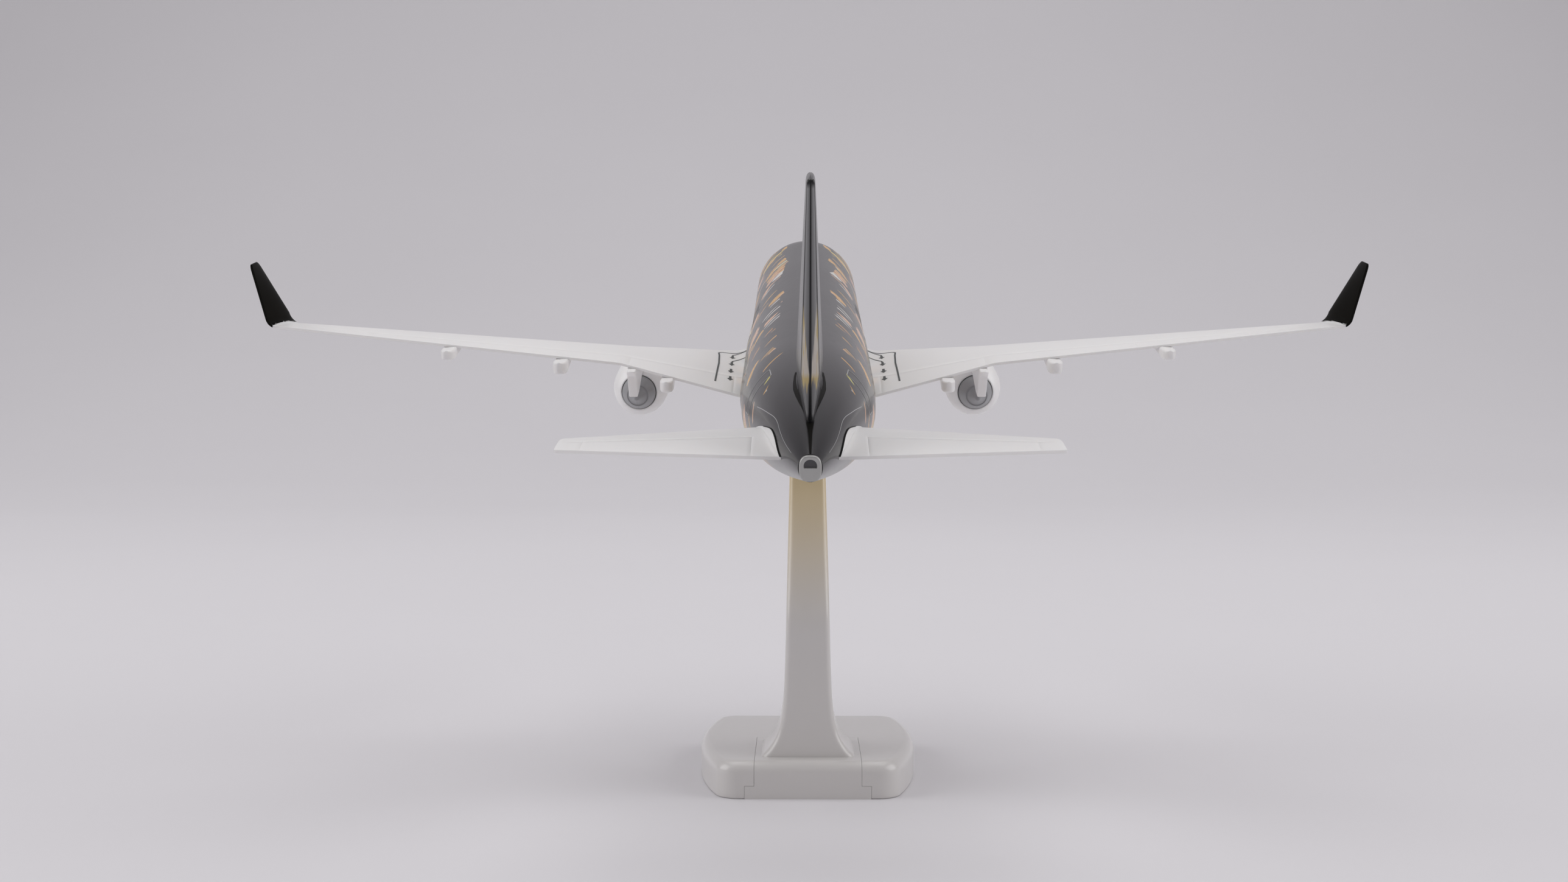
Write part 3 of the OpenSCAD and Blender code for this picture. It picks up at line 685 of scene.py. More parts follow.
# The stand's peg, and the socket in the belly that it sits in
peg = {"wide": 3.6, "long": 7, "high": 8, "fit": 0.1, "edge": 0.3}


def pegBox(name, fit, below, above):
    out, long = peg["wide"] / 2 + fit, peg["long"] / 2 + fit
    front, back = stance["seatAft"] - long, stance["seatAft"] + long
    corners = ((-out, front), (out, front), (out, back), (-out, back))
    heights = (stance["bellyLow"] - below, stance["bellyLow"] + peg["high"] + above)
    return wrapRings(name, [[flown(x, aft, up) for x, aft in corners] for up in heights], 20)


def softenSeam(half):
    # a small bevel all along the joint, so that the seam shows as it does on moulded halves
    openAll(half)
    bpy.ops.mesh.select_all(action="DESELECT")
    bpy.ops.object.mode_set(mode="OBJECT")
    for face in half.data.polygons:
        face.select = abs(face.center.x) < body["seam"] * milli and abs(face.normal.x) > 0.999
    bpy.ops.object.mode_set(mode="EDIT")
    bpy.ops.mesh.select_mode(type="FACE")
    bpy.ops.mesh.region_to_loop()
    bpy.ops.mesh.bevel(offset=body["seamEdge"] * milli, segments=1, affect="EDGES", clamp_overlap=True)
    smoothAll(40)


def buildHalves():
    shell = cutWith(buildBody(), buildFin(), "UNION")
    cutWith(shell, pegBox("socket", peg["fit"], 3, 0.2))
    other = copyOf(shell, "fuselageLeftHalf")
    named("fuselageRightHalf", shell)
    for half, side, node in ((shell, 1, "fuselage_right_half"), (other, -1, "fuselage_left_half")):
        near, far = sorted((side * body["seam"] / 2, side * 60))
        cutWith(half, boxAt((near, -200, -50), (far, 200, 200)), "INTERSECT")
        softenSeam(half)
        finished(half, "black_gloss", printedBlack, node)


buildHalves()
print("fuselage made")


# Thin lines on the body: a dark line round the fin's foot, down the tail's seam and along the edges of the
# tailplanes' pads, which is painted shade in the grooves there; pale outlines of doors, which are print, and
# of the pads under the tailplanes, which are a painted highlight along the pads' edges; with the white roots
# of the tailplanes that lap over the body. Turns are degrees from the body's top, and each lift says how far
# a line reaches into and out of the skin.

bodyLines = {
    "finFoot": [(157.5, 1.8), (159.5, 1.92), (162.5, 1.95), (165.3, 1.85), (168, 1.52), (170.5, 1.14),
                (173, 0.72), (175.3, 0.38), (177.9, 0.02)],
    "finFootWide": (0.2, 0.62), "finFootLift": (-0.15, 0.09),
    "tailSeam": [(177, 0.0), (178.5, 0.0), (180.5, 0.0), (183, 0.0), (187.1, 0.0)],
    "tailSeamWide": (0.8, 0.95, 0.6, 0.4, 0.22), "tailSeamLift": (-0.1, 0.04),
    "pad": [(158.5, 68), (162, 64.5), (166.3, 60.3), (169.6, 56.2), (171.4, 55.2), (173.2, 56.3),
            (175.6, 60.3), (178.4, 64.6), (180.8, 67), (183.4, 68)],
    "rootPad": [(161, 88, 93), (164, 82, 92), (167, 77, 92), (169.4, 73.1, 93), (171, 70.6, 94.5),
                (172.5, 70.5, 96), (174.6, 74.1, 98.3), (176.4, 83.4, 101.5), (177.5, 93.5, 103.3),
                (178.2, 99.5, 104.8)],
    "rootPadLift": (-1.2, 0.09), "padEdgeWide": 0.2, "padEdgeLift": (-0.1, 0.13),
    "doors": [(21.5, 25.3, 42, 93), (148.9, 152.7, 38, 84), (73.4, 76.2, 58, 86), (77.4, 80.2, 58, 86)],
    "thin": 0.13,
}


def drawBodyLines():
    def byOut(side):
        return lambda aft, out, lift: skinAt(aft, side * asin(held(out / halfWide(aft), -1, 1)), lift)

    def byTurn(side):
        return lambda aft, around, lift: skinAt(aft, side * around / 10, lift)

    def round10(points):
        # turns as the ribbons count them, one radian as ten millimetres
        return [(aft, radians(turn) * 10) for aft, turn in points]

    def rootPad(side):
        # rows run from the pad's curved edge down into the tailplane
        deep, lift = bodyLines["rootPadLift"]
        rings = []
        for aft, high, low in smoothPath(bodyLines["rootPad"], 3, 2):
            turns = [radians(turn) for turn in spread(high, low, 6)]
            outer, inner = [[skinAt(aft, turn, at) for turn in turns] for at in (lift, deep)]
            rings.append(outer + inner[::-1])
        return wrapRings("rootPad", rings, 40, side)

    dark, pale, thin = [], [], bodyLines["thin"]
    # the dark strips are painted shade in the grooves round the fin's foot and along the pads' edges
    for side in (-1, 1):
        path = smoothPath(bodyLines["finFoot"], 0.8, 1)
        widths = [mix(*bodyLines["finFootWide"], softStep(i / (len(path) - 1) * 2)) for i in range(len(path))]
        dark.append(ribbon("foot", path, widths, byOut(side), bodyLines["finFootLift"]))
        edge = smoothPath(round10([(aft, high) for aft, high, low in bodyLines["rootPad"]][2:]), 3, 2)
        dark.append(ribbon("padEdge", edge, bodyLines["padEdgeWide"], byTurn(side), bodyLines["padEdgeLift"]))
        # the pale line round each pad is a painted highlight along the pad's edge; the door outlines are
        # print
        pale.append(ribbon("pad", smoothPath(round10(bodyLines["pad"]), 1, 1), thin, byTurn(side)))
        for front, back, high, low in bodyLines["doors"]:
            corners = [(mix(front, back, 0.5), high), (back, high), (back, low), (front, low), (front, high),
                       (mix(front, back, 0.49), high)]
            pale.append(ribbon("door", smoothPath(round10(corners), 0.7, 2), thin, byTurn(side)))
    # the dark strip down the tail's seam is painted shade in the groove there
    seam, widths = bodyLines["tailSeam"], bodyLines["tailSeamWide"]
    dark.append(ribbon("seam", seam, widths, byOut(1), bodyLines["tailSeamLift"]))
    finished(joined("tailGrooveShadeLines", dark), "black_gloss", satinBlack)
    finished(joined("tailRootPads", [rootPad(1), rootPad(-1)]), "white_plastic", whitePlastic)
    # printed door outlines, with the painted highlight round the pads
    finished(joined("bodyPrintAndPadHighlight", pale), "black_gloss", palePrintAndHighlight)


drawBodyLines()


# Silver ring of the outlet, with an arched recess, and a dark plate at the recess's back that is painted
# shade for its dark inside

def buildOutlet():
    middle, hw = (outlet["top"] + outlet["low"]) / 2, outlet["wide"] / 2
    hh = (outlet["top"] - outlet["low"]) / 2
    turns, square = turnsOf(48), outlet["square"]

    def rim(inset, aft):
        wide, high = hw - inset, hh - inset
        return [flown(wide * powerOf(sin(t), square), aft, middle + high * powerOf(cos(t), square))
                for t in turns]

    def arch(aft, floor, shrink=1.0):
        ring = []
        for t in turns:
            x = outlet["archWide"] * shrink * powerOf(sin(t), outlet["archSquare"])
            up = max(outlet["archHigh"] * shrink * cos(t), floor)
            ring.append(flown(x, aft, middle + up + outlet["archUp"]))
        return ring

    end, e = body["length"], outlet["edge"]
    rings = [rim(outlet["inset"], end - outlet["length"])]
    rings += [rim(e * (1 - cos(a)), end - e + e * sin(a)) for a in spread(0, pi / 2, 5)]
    rings += [arch(end - 0.01, -0.28), arch(end - 0.12, -0.22, 0.94), arch(end - outlet["deep"], -0.2, 0.86)]
    # a dark plate set in the recess: painted shade for the hollow's inside
    back = [arch(end - outlet["backAt"] - thick, -0.22, 0.97) for thick in (outlet["backThick"], 0)]
    finished(wrapRings("tailOutletShadePlate", back, 40), "silver_paint", darkPlastic)
    finished(wrapRings("tailOutletRing", rings, 40), "silver_paint", dullSilver, "tail_outlet")


buildOutlet()


# Wings and winglets: one long skin on each side, cut at the slanted joint between white and black

wing = {
    "aft": 59.5, "sweep": radians(27.5), "halfSpan": 85, "rootX": 7, "kinkX": 31.65, "rootBack": 35.8,
    "kinkBack": 35.15, "tipChord": 6.7, "rootUp": -8.2, "kinkUp": -1.55, "tipUp": 7.55, "rootThick": 3.9,
    "kinkThick": 2.1, "tipThick": 0.75, "rootRise": 1.85, "kinkRise": -1, "tipRise": -0.6, "camber": 0.24,
    "edge": 0.4, "filletX": 13.2, "filletReach": 3.4, "filletAft": 1.6, "filletUp": 0.75, "filletThick": 0.3,
    "groove": 0.03, "grooveWide": 0.06, "grooveX": (10, 80), "slatAt": 0.13, "hingeAt": 0.74,
    "crossLines": (12.6, 30.2, 54.5, 71.5),
}
winglet = {
    "cant": 80, "wingCant": 9.5, "bend": 1.6, "high": 9.13, "foldChord": 7.7, "chord": 3.75, "back": 1.6,
    "thick": 0.4, "toe": 2, "skewFrom": 81, "jointIn": 1.6, "jointTurn": radians(16), "jointGap": 0.02,
    "cap": 1.0, "capTrail": 0.45, "capChord": 1.0, "capThin": 0.55, "capEdge": 0.5,
}


def wingLe(x):
    return wing["aft"] + x * tan(wing["sweep"])


def alongSpan(x, root, kink, tip):
    if x < wing["kinkX"]:
        return mix(root, kink, share(x, wing["rootX"], wing["kinkX"]))
    return mix(kink, tip, share(x, wing["kinkX"], wing["halfSpan"]))


def wingUp(x):
    return alongSpan(x, wing["rootUp"], wing["kinkUp"], wing["tipUp"])


def wingTe(x):
    return alongSpan(x, wing["aft"] + wing["rootBack"], wing["aft"] + wing["kinkBack"],
                     wingLe(wing["halfSpan"]) + wing["tipChord"])


def fillet(x):
    return held((wing["filletX"] - x) / wing["filletReach"], 0, 1.4) ** 2


def sectionUp(c, way, thick, rise, lift=0.0, thin=1.0):
    # height of a wing's section over its rear edge, on its top (way 1) or underside (way -1)
    half = thick * aerofoil(c) + wing["edge"] / 2 * c * thin
    return wing["camber"] * thick * c * (1 - c) + way * (half + lift) + rise * (1 - c)


def wingAt(x, c, way, lift=0.0):
    # a place on the wing's skin, as out, aft and up
    f = fillet(x)
    le = wingLe(x) - wing["filletAft"] * f
    thick = alongSpan(x, wing["rootThick"], wing["kinkThick"], wing["tipThick"])
    thick *= 1 + wing["filletThick"] * f
    rise = alongSpan(x, wing["rootRise"], wing["kinkRise"], wing["tipRise"]) + wing["filletUp"] * f
    return x, le + (wingTe(x) - le) * c, wingUp(x) + sectionUp(c, way, thick, rise, lift)


def shareOfChord(x, aft):
    le = wingLe(x) - wing["filletAft"] * fillet(x)
    return held((aft - le) / (wingTe(x) - le), 0.0005, 0.9995)


def wingTop(x, aft, lift=0.0):
    return wingAt(x, shareOfChord(x, aft), 1, lift)


def wingUnder(x, aft):
    return wingAt(x, shareOfChord(x, aft), -1)[2]


def chordPlaces(grooveShare, lines):
    # places along the chord, dense at the leading edge, with three at each engraved line
    places, start = [], 0.0
    for line, count in zip((*lines, 1.0), (8, 12, 7)):
        stop = line - grooveShare if line < 1 else 1.0
        for i in range(count):
            t = i / count
            places.append((mix(start, stop, t * t if start == 0 else t), 0.0))
        places.append((stop, 0.0))
        if line < 1:
            places.append((line, 1.0))
            start = line + grooveShare
    return places


def crossed(stations, lines):
    # three stations at each line across the wing, the middle one engraved
    for line in lines:
        stations += [(line - 0.09, 0.0), (line, 1.0), (line + 0.09, 0.0)]
    return sorted(stations)


def wingSection(x, cross=0.0, toe=0.0):
    # toe turns the section, so that its front stands further in
    slat, hinge = wing["slatAt"], wing["hingeAt"]
    start, end = wing["grooveX"]
    ring = []
    for c, line in chordPlaces(wing["grooveWide"] / (wingTe(x) - wingLe(x)), (slat, hinge)):
        deep = line or (cross if c > hinge or c < slat else 0.0)
        engraved = start < x < end and c < 0.995
        ring.append(wingAt(x - toe * (1 - c), c, 1, -wing["groove"] * deep if engraved else 0.0))
    return ring + [wingAt(x - toe * (1 - c), c, -1) for c in chordSteps(18)[:0:-1]]


def wingletSection(run, arc):
    # the skin bends up through the winglet's root and then runs straight
    flat, cant = radians(winglet["wingCant"]), radians(winglet["cant"])
    bent = held(run / arc)
    lean = radians(mix(winglet["wingCant"], winglet["cant"], bent))
    blade, t = max(run - arc, 0), run / (arc + winglet["high"])
    x = wing["halfSpan"] + winglet["bend"] * (sin(lean) - sin(flat)) + blade * cos(cant)
    z = wing["tipUp"] + winglet["bend"] * (cos(flat) - cos(lean)) + blade * sin(cant)
    fall = capFall(1 - (arc + winglet["high"] - run) / winglet["cap"])
    chord = mix(winglet["foldChord"], winglet["chord"], t) - winglet["capChord"] * fall
    te = wingTe(wing["halfSpan"]) + winglet["back"] * t - winglet["capTrail"] * fall
    thick = mix(wing["tipThick"], winglet["thick"], t) * (1 - winglet["capThin"] * fall)
    rise, toe, thin = wing["tipRise"] * (1 - bent), winglet["toe"] * (1 - t), 1 - winglet["capEdge"] * fall
    upper = chordPlaces(wing["grooveWide"] / wing["tipChord"], (wing["slatAt"], wing["hingeAt"]))
    ring = []
    for c, way in [(c, 1) for c, line in upper] + [(c, -1) for c in chordSteps(18)[:0:-1]]:
        up = sectionUp(c, way, thick, rise, 0, thin)
        out, high = x - up * sin(lean) - toe * (1 - c), z + up * cos(lean)
        ring.append((out, te - chord * (1 - c), high - toe * (1 - c) * (1 - bent) * tan(flat)))
    return ring


def buildWing(side, label):
    arc = winglet["bend"] * radians(winglet["cant"] - winglet["wingCant"])
    places = spread(wing["rootX"], wing["filletX"], 12) + spread(15, winglet["skewFrom"], 44)
    clear = [(x, 0.0) for x in places if all(abs(x - line) > 0.3 for line in wing["crossLines"])]
    rings = [wingSection(x, cross) for x, cross in crossed(clear, wing["crossLines"])]
    for t in spread(0, 1, 6)[1:]:
        rings.append(wingSection(mix(winglet["skewFrom"], wing["halfSpan"], t), 0.0, winglet["toe"] * t))
    top = arc + winglet["high"]
    runs = spread(0, arc, 12)[1:] + spread(arc + 0.6, top - winglet["cap"], 10)
    runs += capPlaces(top, winglet["cap"])
    rings += [wingletSection(run, arc) for run in runs]
    white = wrapRings(label + "Wing", [[flown(*p) for p in ring] for ring in rings], 40, side)
    black = copyOf(white, label + "Winglet")
    jointX, turn = wing["halfSpan"] - winglet["jointIn"], winglet["jointTurn"]
    place = flown(side * jointX, wingLe(jointX), 0)
    away = flownWay(side * cos(turn), sin(turn), 0)
    keepSide(white, place, away, 40)
    keepSide(black, place + away * winglet["jointGap"] * milli, -away, 40)
    finished(white, "white_plastic", whitePlastic, label + "_wing")
    finished(black, "black_gloss", satinBlack, label + "_winglet")


for side, label in sides:
    buildWing(side, label)
print("wings made")


# Printed walkway on each wing root: a line with a rounded corner, and four arrows that point aft.
# An arrow is given as shares of its length with widths, from the foot of its stem to its point.

walkway = {
    "line": [(9.9, 70.2), (11.6, 72.5), (13.7, 73.9), (15.4, 74.2), (15.85, 74.8), (15.65, 77.1),
             (15.5, 82.2), (15.6, 86.0), (15.75, 91.9)],
    "lineWide": 0.3, "arrowX": 13.3, "arrowsAft": (76.0, 80.3, 84.2, 88.0), "arrowLong": 2.0,
    "arrow": ((0, 0.42), (0.3, 0.42), (0.52, 0.483), (0.6, 1.05), (0.82, 0.4725), (1, 0.06)),
    "tails": [[(13.3, 76.4), (13.3, 75.4), (12.6, 74.4), (11.1, 72.2)],
              [(13.3, 80.6), (13.2, 79.6), (12.4, 78.7), (10.7, 76.6)]],
    "tailWide": 0.26,
}


def printWalkway(side, label):
    def onTop(x, aft, lift):
        return Vector((side, 1, 1)) * flown(*wingTop(x, aft, lift))

    def strip(name, path, widths):
        return ribbon(name, path, widths, onTop)

    marks = [strip("line", smoothPath(walkway["line"], 0.8, 2), walkway["lineWide"])]
    for aft in walkway["arrowsAft"]:
        path = [(walkway["arrowX"], aft + walkway["arrowLong"] * t) for t, wide in walkway["arrow"]]
        marks.append(strip("arrow", path, [wide for t, wide in walkway["arrow"]]))
    for path in walkway["tails"]:
        marks.append(strip("tail", smoothPath(path, 0.8, 2), walkway["tailWide"]))
    finished(joined(label + "WalkwayPrint", marks), "black_gloss", printedGrey)


for side, label in sides:
    printWalkway(side, label)


# Tailplanes, with an engraved elevator

tail = {
    "le": 158.5, "te": 176.8, "sweep": radians(32), "teSweep": radians(14), "dihedral": radians(5.4),
    "up": 2.5, "rise": -0.2, "rootX": 3, "span": 31, "thick": 2, "tipThick": 0.8, "cap": 0.7, "capTrim": 0.55,
    "capThin": 0.5, "noseAt": 0.1, "hingeAt": 0.52, "elevator": (7.4, 27.99), "groove": 0.05,
    "grooveWide": 0.08,
}


def tailSection(x, cross=0.0):
    capFrom, middle = tail["span"] - tail["cap"], tail["up"] + x * tan(tail["dihedral"])
    t, fall = share(x, tail["rootX"], capFrom), capFall(share(x, capFrom, tail["span"]))
    le = tail["le"] + x * tan(tail["sweep"]) + tail["capTrim"] * fall
    te = tail["te"] + x * tan(tail["teSweep"]) - tail["capTrim"] * fall / 4
    thick = mix(tail["thick"], tail["tipThick"], min(t, 1)) * (1 - tail["capThin"] * fall)
    ring = []
    for c, line in chordPlaces(tail["grooveWide"] / (te - le), (tail["noseAt"], tail["hingeAt"])):
        hinge = line if c > 0.3 and x > tail["elevator"][0] - 0.01 else 0.0
        deep = hinge or (cross if c > tail["hingeAt"] else 0.0)
        sunk = tail["groove"] * deep if x < tail["span"] - 1.5 and c < 0.99 else 0.0
        ring.append((x, mix(le, te, c), middle + sectionUp(c, 1, thick, tail["rise"], -sunk)))
    for c in chordSteps(16)[:0:-1]:
        ring.append((x, mix(le, te, c), middle + sectionUp(c, -1, thick, tail["rise"])))
    return ring


def buildTailplane(side, label):
    start, end = tail["elevator"]
    places = spread(tail["rootX"], start - 0.4, 5) + spread(8, end - 0.59, 16) + [28.6, 29.2, 29.8, 30.25]
    places += capPlaces(tail["span"], tail["cap"], 0.999)
    stations = crossed([(x, 0.0) for x in places], tail["elevator"])
    rings = [[flown(*p) for p in tailSection(x, cross)] for x, cross in stations]
    plane = wrapRings(label + "Tailplane", rings, 40, side)
    finished(plane, "white_plastic", whitePlastic, label + "_tailplane")


for side, label in sides:
    buildTailplane(side, label)
print("tailplanes made")


# Engines: places along each one are measured from the front of its nacelle

engine = {
    "x": 30.3, "drop": 10.55, "front": 56, "lipLength": 1.8, "length": 19.2, "wide": 5, "duct": 3.95,
    "lip": 4.6, "exit": 3.35, "ductEnd": 16, "exitWall": 0.2, "shoulder": 7, "widestAt": 8,
    "lines": (6.2, 12.4), "lineDeep": 0.08, "lineWide": 0.07,
    "blades": 18, "bladesAt": 4.35, "bladePitch": (28, 62), "bladeChord": (1.0, 1.25), "bladeThick": 0.11,
    "bladeSweep": 0.25, "bladeTip": 3.82, "hub": 1.15, "discAt": 4.9, "discThick": 0.6, "spinnerTip": 2.4,
    "coreAt": 12, "coreWide": 3.02, "coneSeam": 0.965,
}


def atEngine(out, along, up):
    return flown(engine["x"] + out, engine["front"] + along, up - engine["drop"])


def turned(name, profile, side, points=96, smoothAngle=32, seamFrom=inf):
    # a profile of (radius, place along the engine) carried round the engine's axis; past seamFrom
    # its lowest line is drawn in as a fine seam
    rings = []
    for radius, s in profile:
        turns = turnsOf(points)
        widths = [radius * (engine["coneSeam"] if a == 0 and s > seamFrom else 1) for a in turns]
        rings.append([atEngine(r * sin(a), s, -r * cos(a)) for r, a in zip(widths, turns)])
    return wrapRings(name, rings, smoothAngle, side)


def nacelleEdge(s):
    wide, widest = engine["wide"], engine["widestAt"]
    if s < widest:
        return wide - (wide - engine["lip"]) * share(s, widest, engine["lipLength"]) ** 2
    return wide - (wide - engine["exit"]) * share(s, widest, engine["length"]) ** engine["shoulder"]


def buildNacelle(side, label):
    duct, lip, front, end = engine["duct"], engine["lip"], engine["lipLength"], engine["length"]
    lines, wide, inner = engine["lines"], engine["lineWide"], engine["exit"] - engine["exitWall"]
    places = [p for p in spread(front + 0.4, 15, 22) if min(abs(p - line) for line in lines) > 0.2]
    places += spread(15.3, end - 0.04, 20)
    for line in lines:
        places += [line - wide, line, line + wide]
    profile = [(duct + 0.05, front + 0.02), (lip - 0.08, front + 0.02), (lip, front + 0.1)]
    profile += [(nacelleEdge(s) - (engine["lineDeep"] if s in lines else 0), s) for s in sorted(places)]
    profile += [(engine["exit"] - 0.02, end), (inner, end - 0.02), (inner, end - 0.3)]
    profile += [(duct, engine["ductEnd"]), (duct, 8), (duct, front + 0.3), profile[0]]
    cowl = turned(label + "Nacelle", profile, side)
    finished(cowl, "white_plastic", whitePlastic, label + "_nacelle")
    middle, half = (lip + duct) / 2, (lip - duct) / 2
    edge = [(middle + half * cos(a), front * (1 - sin(a))) for a in spread(0, pi, 24)]
    ring = turned(label + "IntakeLip", edge + [edge[0]], side)
    finished(ring, "silver_paint", silverPaint, label + "_intake_lip")


def buildFan(side, label):
    # one twisted blade, copied round the hub in front of its disc
    def bladeRing(t):
        pitch, chord = radians(mix(*engine["bladePitch"], t)), mix(*engine["bladeChord"], t)
        r, sweep = mix(engine["hub"] - 0.25, engine["bladeTip"], t), engine["bladeSweep"] * t * t
        ring = []
        for a in turnsOf(16):
            long, thick = chord / 2 * cos(a), engine["bladeThick"] * sin(a) * (1 + 0.6 * cos(a))
            across = long * sin(pitch) + thick * cos(pitch)
            ring.append((across + sweep, r, long * cos(pitch) - thick * sin(pitch)))
        return ring

    blade = [bladeRing(t) for t in spread(0, 1, 8)]
    parts = []
    for a in turnsOf(engine["blades"]):
        def placed(out, up, along):
            across, away = out * cos(a) + up * sin(a), up * cos(a) - out * sin(a)
            return atEngine(across, engine["bladesAt"] + along, away)

        parts.append(wrapRings("blade", [[placed(*point) for point in ring] for ring in blade], 40, side))
    at, back, rim = engine["discAt"], engine["discAt"] + engine["discThick"], engine["duct"] - 0.02
    parts.append(turned("disc", [(0.01, at), (rim, at), (rim, back), (0.01, back)], side, 64))
    tip, hub = engine["spinnerTip"], engine["hub"]
    ogive = [(hub * sqrt(t) * (1.2 - 0.2 * t), mix(tip, at, t)) for t in spread(0.02, 1, 14, 1.6)]
    parts.append(turned("spinner", [(0.004, tip)] + ogive + [(0.01, at + 0.1)], side, 48, 40))
    finished(joined(label + "Fan", parts), "grey_plastic", darkPlastic, label + "_fan")


def buildExhaust(side, label):
    # the plate behind the fan, then the core, its nozzle and its cone
    end, r, at, rim = engine["length"], engine["coreWide"], engine["coreAt"], engine["duct"] - 0.03
    profile = [(0.01, at), (rim, at), (rim, at + 1), (r, at + 1), (r, end + 0.3), (r - 0.03, end + 0.45)]
    profile += [(r - 0.12, end + 0.53)]
    profile += [(mix(r - 0.12, 1.95, t ** 1.15), mix(end + 0.53, end + 2.9, t)) for t in spread(0.1, 1, 8)]
    profile += [(1.86, end + 2.96), (1.78, end + 2.9)]
    profile += [(mix(1.7, 0.36, t ** 0.9), mix(end + 2.95, end + 5.5, t)) for t in spread(0, 1, 8)]
    profile += [(0.22, end + 5.59), (0.01, end + 5.6)]
    plug = turned(label + "Exhaust", profile, side, 120, 40, end + 0.4)
    finished(plug, "grey_plastic", greyPlastic, label + "_exhaust")


for side, label in sides:
    buildNacelle(side, label)
    buildFan(side, label)
    buildExhaust(side, label)
print("engines made")


# Pylons, keels and fairings: blades with rounded edges whose height changes along them

def roundedBlade(name, stations, side, corner=0.35):
    # each station is how far out, how far aft, how wide, how low and how high
    rings = []
    for x, aft, wide, low, high in stations:
        c = min(corner, wide * 0.45, (high - low) * 0.45)
        rings.append([flown(x + across, aft, up) for across, up in roundedBox(wide, low, high, c, 4)])
    return wrapRings(name, rings, 40, side)


pylon = {
    "wide": 1.65, "in": 6, "long": 10, "seat": 4.45, "rake": 2, "crest": 0.8, "nose": 0.6, "lift": 0.1,
    "tipLow": 5.1, "short": 11.65, "frontWide": 0.35, "widening": 3.5, "narrowing": 0.45, "narrowLong": 5,
}


def buildPylon(side, label):
    x, axis = engine["x"], -engine["drop"]
    front, tip = engine["front"] + pylon["in"], wing["aft"] + wing["kinkBack"] - pylon["short"]
    raked, back, end = front + pylon["rake"], front + pylon["long"], engine["front"] + engine["length"]
    seat, crest = axis + pylon["seat"], axis + engine["wide"] + pylon["crest"]
    exitUp, leAft = axis + engine["exit"] + pylon["lift"], wingLe(x) + pylon["nose"]
    places = spread(front + 0.02, raked, 10, 1.6) + spread(front + 2.6, leAft, 12)
    stations = []
    for aft in places + spread(leAft + 0.3, tip, 18):
        if aft < raked:
            high = mix(seat + 0.15, crest, sqrt(share(aft, front, raked)))
        elif aft < leAft:
            high = mix(crest, wingAt(x, 0, 1)[2], share(aft, raked, leAft))
        else:
            high = wingUnder(x, aft) + 0.25
        if aft < back:
            low = seat
        elif aft < end:
            low = mix(seat, exitUp, share(aft, back, end))
        else:
            low = mix(exitUp, axis + pylon["tipLow"], share(aft, end, tip))
        wide = pylon["wide"] * mix(pylon["frontWide"], 1, sqrt(held((aft - front) / pylon["widening"])))
        wide *= 1 - pylon["narrowing"] * held(share(aft, tip - pylon["narrowLong"], tip)) ** 2
        stations.append((x, aft, wide, low, high))
    finished(roundedBlade(label + "Pylon", stations, side), "white_plastic", whitePlastic, label + "_pylon")


fairing = {
    "x": (23.7, 41.2, 58.8), "half": (1.15, 1.2, 1.15), "long": (19, 16, 14), "deep": (1.9, 2, 1.6),
    "past": 3.4, "stern": 2.2, "nose": 0.6, "drop": 0.9,
    "keelX": 29.7, "keelWide": 1.45, "keelFrom": 12.2, "keelTo": -2.58,
    "keel": ((-2.6, 0.35), (-0.7, 1.55), (1.9, 5.6), (4.7, 5.35), (12.5, 3.35)),
}


def heightAlong(points, place):
    # height of a broken line at a place
    for (a, low), (b, high) in zip(points, points[1:]):
        if a <= place <= b:
            return mix(low, high, share(place, a, b))


def buildFairings(side, label):
    nose, stern = fairing["nose"], fairing["stern"]
    parts = []
    for x, half, long, deep in zip(fairing["x"], fairing["half"], fairing["long"], fairing["deep"]):
        te, deck = wingTe(x), wingUp(x) - wing["edge"] / 2
        back = te + fairing["past"]
        sternSteps = (0.2, 0.4, 0.56, 0.7, 0.8, 0.88, 0.94, 0.975)
        stations = []
        for aft in spread(back - long, back - stern, 26, 0.9) + [back - stern * (1 - t) for t in sternSteps]:
            t, end = held(share(aft, back - long, back - stern)), held(share(aft, back - stern, back))
            wide = 2 * mix(nose, half, t) * sqrt(held(t * 6 + 0.02)) * (1 - end ** 3.2) ** 0.5
            low = mix(deck - fairing["drop"] - nose * sqrt(held(t * 5)), deck - deep, t)
            low += 0.25 * deep * held((end - 0.75) * 4) ** 2
            high = deck if aft > te - 0.3 else wingUnder(x, aft) + 0.2
            stations.append((x, aft, max(wide, 0.1), low, max(high, low + 0.15)))
        parts.append(roundedBlade("fairing", stations, side, 0.38))
    # the deep keel behind the pylon, whose places are measured ahead of the wing's rear edge
    x = fairing["keelX"]
    te, teUp = wingTe(x), wingUp(x)
    stations = []
    for ahead in spread(fairing["keelFrom"], fairing["keelTo"], 60):
        wide = fairing["keelWide"] * (1 - held(share(-ahead, 1.4, 2.6)) ** 3) ** 0.5 + 0.04
        low = teUp - heightAlong(fairing["keel"], ahead)
        past = teUp - 0.22 - 0.13 * held(share(-ahead, -0.5, 2.6))
        high = past if ahead < 0.4 else wingUnder(x, te - ahead) + 0.2
        stations.append((x, te - ahead, wide, low, max(high, low + 0.1)))
    parts.append(roundedBlade("keel", stations, side, 0.2))
    finished(joined(label + "FlapFairings", parts), "white_plastic", whitePlastic, label + "_flap_fairings")


for side, label in sides:
    buildPylon(side, label)
    buildFairings(side, label)
print("pylons and fairings made")


# Stand: a base with bowed sides, and an arm whose foot slides into it from behind

